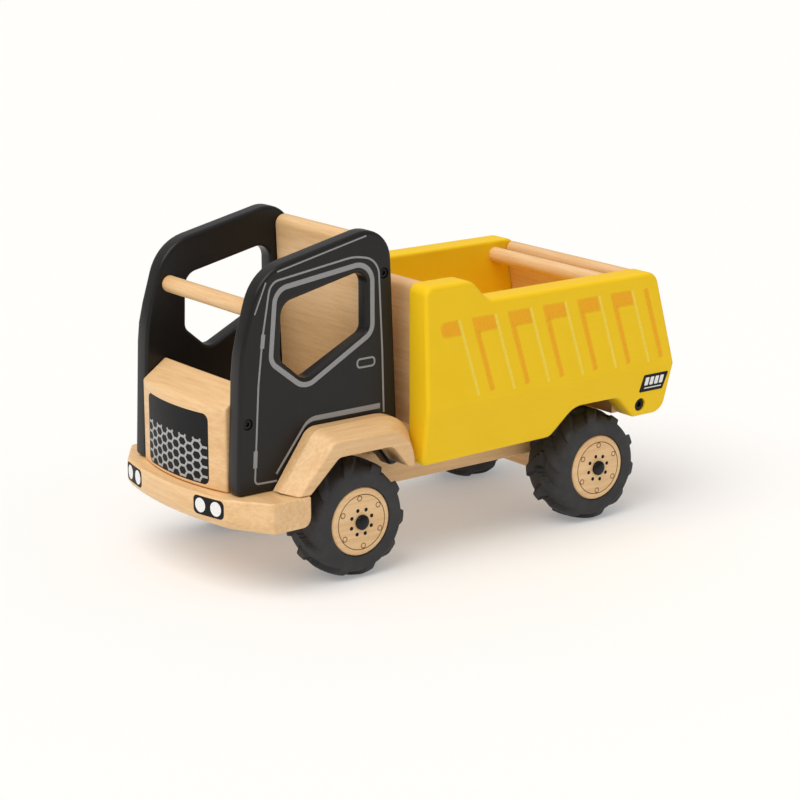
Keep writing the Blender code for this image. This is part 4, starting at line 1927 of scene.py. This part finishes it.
@dataclass
class LoadBody:
    """The rest of the load body: its front wall, crossbar, floor, batten and hinge pins."""

    shop: Workshop
    foot_round: float = 1.2
    crest_round: float = 5.3

    def build(self) -> None:
        """The front wall and crossbar anew, and the rest refinished."""
        low, high = self.shop.box("body_front_wall")
        profile = drawn(
            (
                (low.x, low.z, self.foot_round),
                (high.x, low.z, self.foot_round),
                (high.x, high.z, self.crest_round),
                (low.x, high.z, self.crest_round),
            )
        )
        steps = rounding(0.8, 3)
        wall = board(profile, high.y - low.y, steps, steps)
        place = across(low.y)
        self.shop.piece("load_front_board", wall, place, CROSS_BEECH, "dump_body", ["body_front_wall"])
        round_bar(self.shop, "load_crossbar", "body_crossbar", "dump_body")
        self.shop.refinish("body_floor", YELLOW_PAINT)
        self.shop.refinish("body_rest_batten", CROSS_BEECH)
        for side in Side:
            self.shop.refinish(f"tailgate_pin_{side.word}", BRIGHT_STEEL)


@dataclass
class Tailgate:
    """The swinging board at the rear, hung on its full-round top edge."""

    shop: Workshop
    thickness: float = 9.4
    length: float = 64.8
    lean: float = math.atan(0.2)

    def build(self) -> None:
        """The board, leaning back from its hinge."""
        hinge = next(j for j in self.shop.frame["joints"] if j["name"] == "tailgate_swing")
        pivot = (Vector(hinge["pos_m"]) - self.shop.origin) / MM
        low, high = self.shop.box("tailgate")
        half = self.thickness / 2
        profile = drawn(
            (
                (-half, half, half - 0.05),
                (half, half, half - 0.05),
                (half, -self.length, 1.6),
                (-half, -self.length, 1.6),
            )
        )
        steps = rounding(0.8, 3)
        gate = board(profile, high.y - low.y, steps, steps)
        cosine, sine = math.cos(self.lean), math.sin(self.lean)

        def hung(a: float, b: float, h: float) -> Vector:
            """The bench across the truck at the hinge, leaning back below it."""
            return Vector((pivot.x + a * cosine + b * sine, low.y + h, pivot.z - a * sine + b * cosine))

        self.shop.piece("tailgate_board", gate, hung, CROSS_BEECH, "tailgate", ["tailgate"])


@dataclass
class Studio:
    """A pale floor, soft lights and the camera."""

    shop: Workshop
    eye: tuple[float, float, float] = (776.81, 1136.33, 458.66)
    tilt: float = 75.086
    heading: float = 142.835
    lens: float = 106.97
    key_from: tuple[float, float, float] = (1.0, 0.22, 1.75)
    key_colour: Colour = (1.0, 0.93, 0.86)
    key_power: float = 2.0
    key_spread: float = 50.0
    surround: tuple[float, float] = (0.34, 0.62)

    def build(self) -> None:
        """Set the stage."""
        shape = bmesh.new()
        bmesh.ops.create_grid(shape, x_segments=1, y_segments=1, size=6000)
        floor = self.shop.object("studio_floor", self.shop.laid(shape, level(0)))
        floor.data.materials.append(FLOOR.material())
        self.camera()
        self.light()

    def camera(self) -> None:
        """The camera at the front left, a little above the cab."""
        camera = bpy.data.objects.new("camera", bpy.data.cameras.new("camera"))
        camera.location = Vector(self.eye) * MM + self.shop.origin
        camera.rotation_euler = (math.radians(self.tilt), 0, math.radians(self.heading))
        camera.data.lens = self.lens
        camera.data.sensor_width = 36.0
        bpy.context.scene.collection.objects.link(camera)
        bpy.context.scene.camera = camera

    def light(self) -> None:
        """One broad warm key light from above the front, and a surround that is brighter overhead."""
        lamp = bpy.data.lights.new("soft_key", "SUN")
        lamp.color = self.key_colour
        lamp.energy = self.key_power
        lamp.angle = math.radians(self.key_spread)
        held = bpy.data.objects.new("soft_key", lamp)
        held.location = self.key_from
        held.rotation_euler = Vector(self.key_from).to_track_quat("Z", "Y").to_euler()
        bpy.context.scene.collection.objects.link(held)
        world = bpy.data.worlds.new("white_surround")
        recipe = Recipe(world, "Background")
        heading = recipe.node("ShaderNodeTexCoord", {}, {}).outputs["Generated"]
        height = Value(recipe, recipe.node("ShaderNodeSeparateXYZ", {}, {0: heading}).outputs["Z"])
        low, high = self.surround
        recipe.set(color=(1.0, 1.0, 1.0, 1.0), strength=low + height.ramp(0.0, 0.9) * (high - low))
        bpy.context.scene.world = world
        bpy.context.scene.view_settings.view_transform = "Standard"


WHEEL_TURNS = {
    ("front", Side.LEFT): 0.436,
    ("front", Side.RIGHT): 1.1,
    ("rear", Side.LEFT): 0.55,
    ("rear", Side.RIGHT): 0.0,
}


def main() -> None:
    """Build every sub-assembly in order."""
    logging.basicConfig(level=logging.INFO, format="%(message)s", stream=sys.stdout)
    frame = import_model()
    shop = Workshop(frame)
    builders = [Chassis(shop), Bumper(shop), GrilleBoard(shop), CabFittings(shop)]
    builders += [CabSide(shop, side) for side in Side]
    builders += [WheelGuard(shop, side) for side in Side]
    builders += [Wheel(shop, end, side, turn) for (end, side), turn in WHEEL_TURNS.items()]
    builders += [BodySide(shop, side) for side in Side]
    builders += [LoadBody(shop), Tailgate(shop), Studio(shop)]
    for builder in builders:
        builder.build()
        log.info("%s done", type(builder).__name__)


if __name__ == "__main__":
    main()
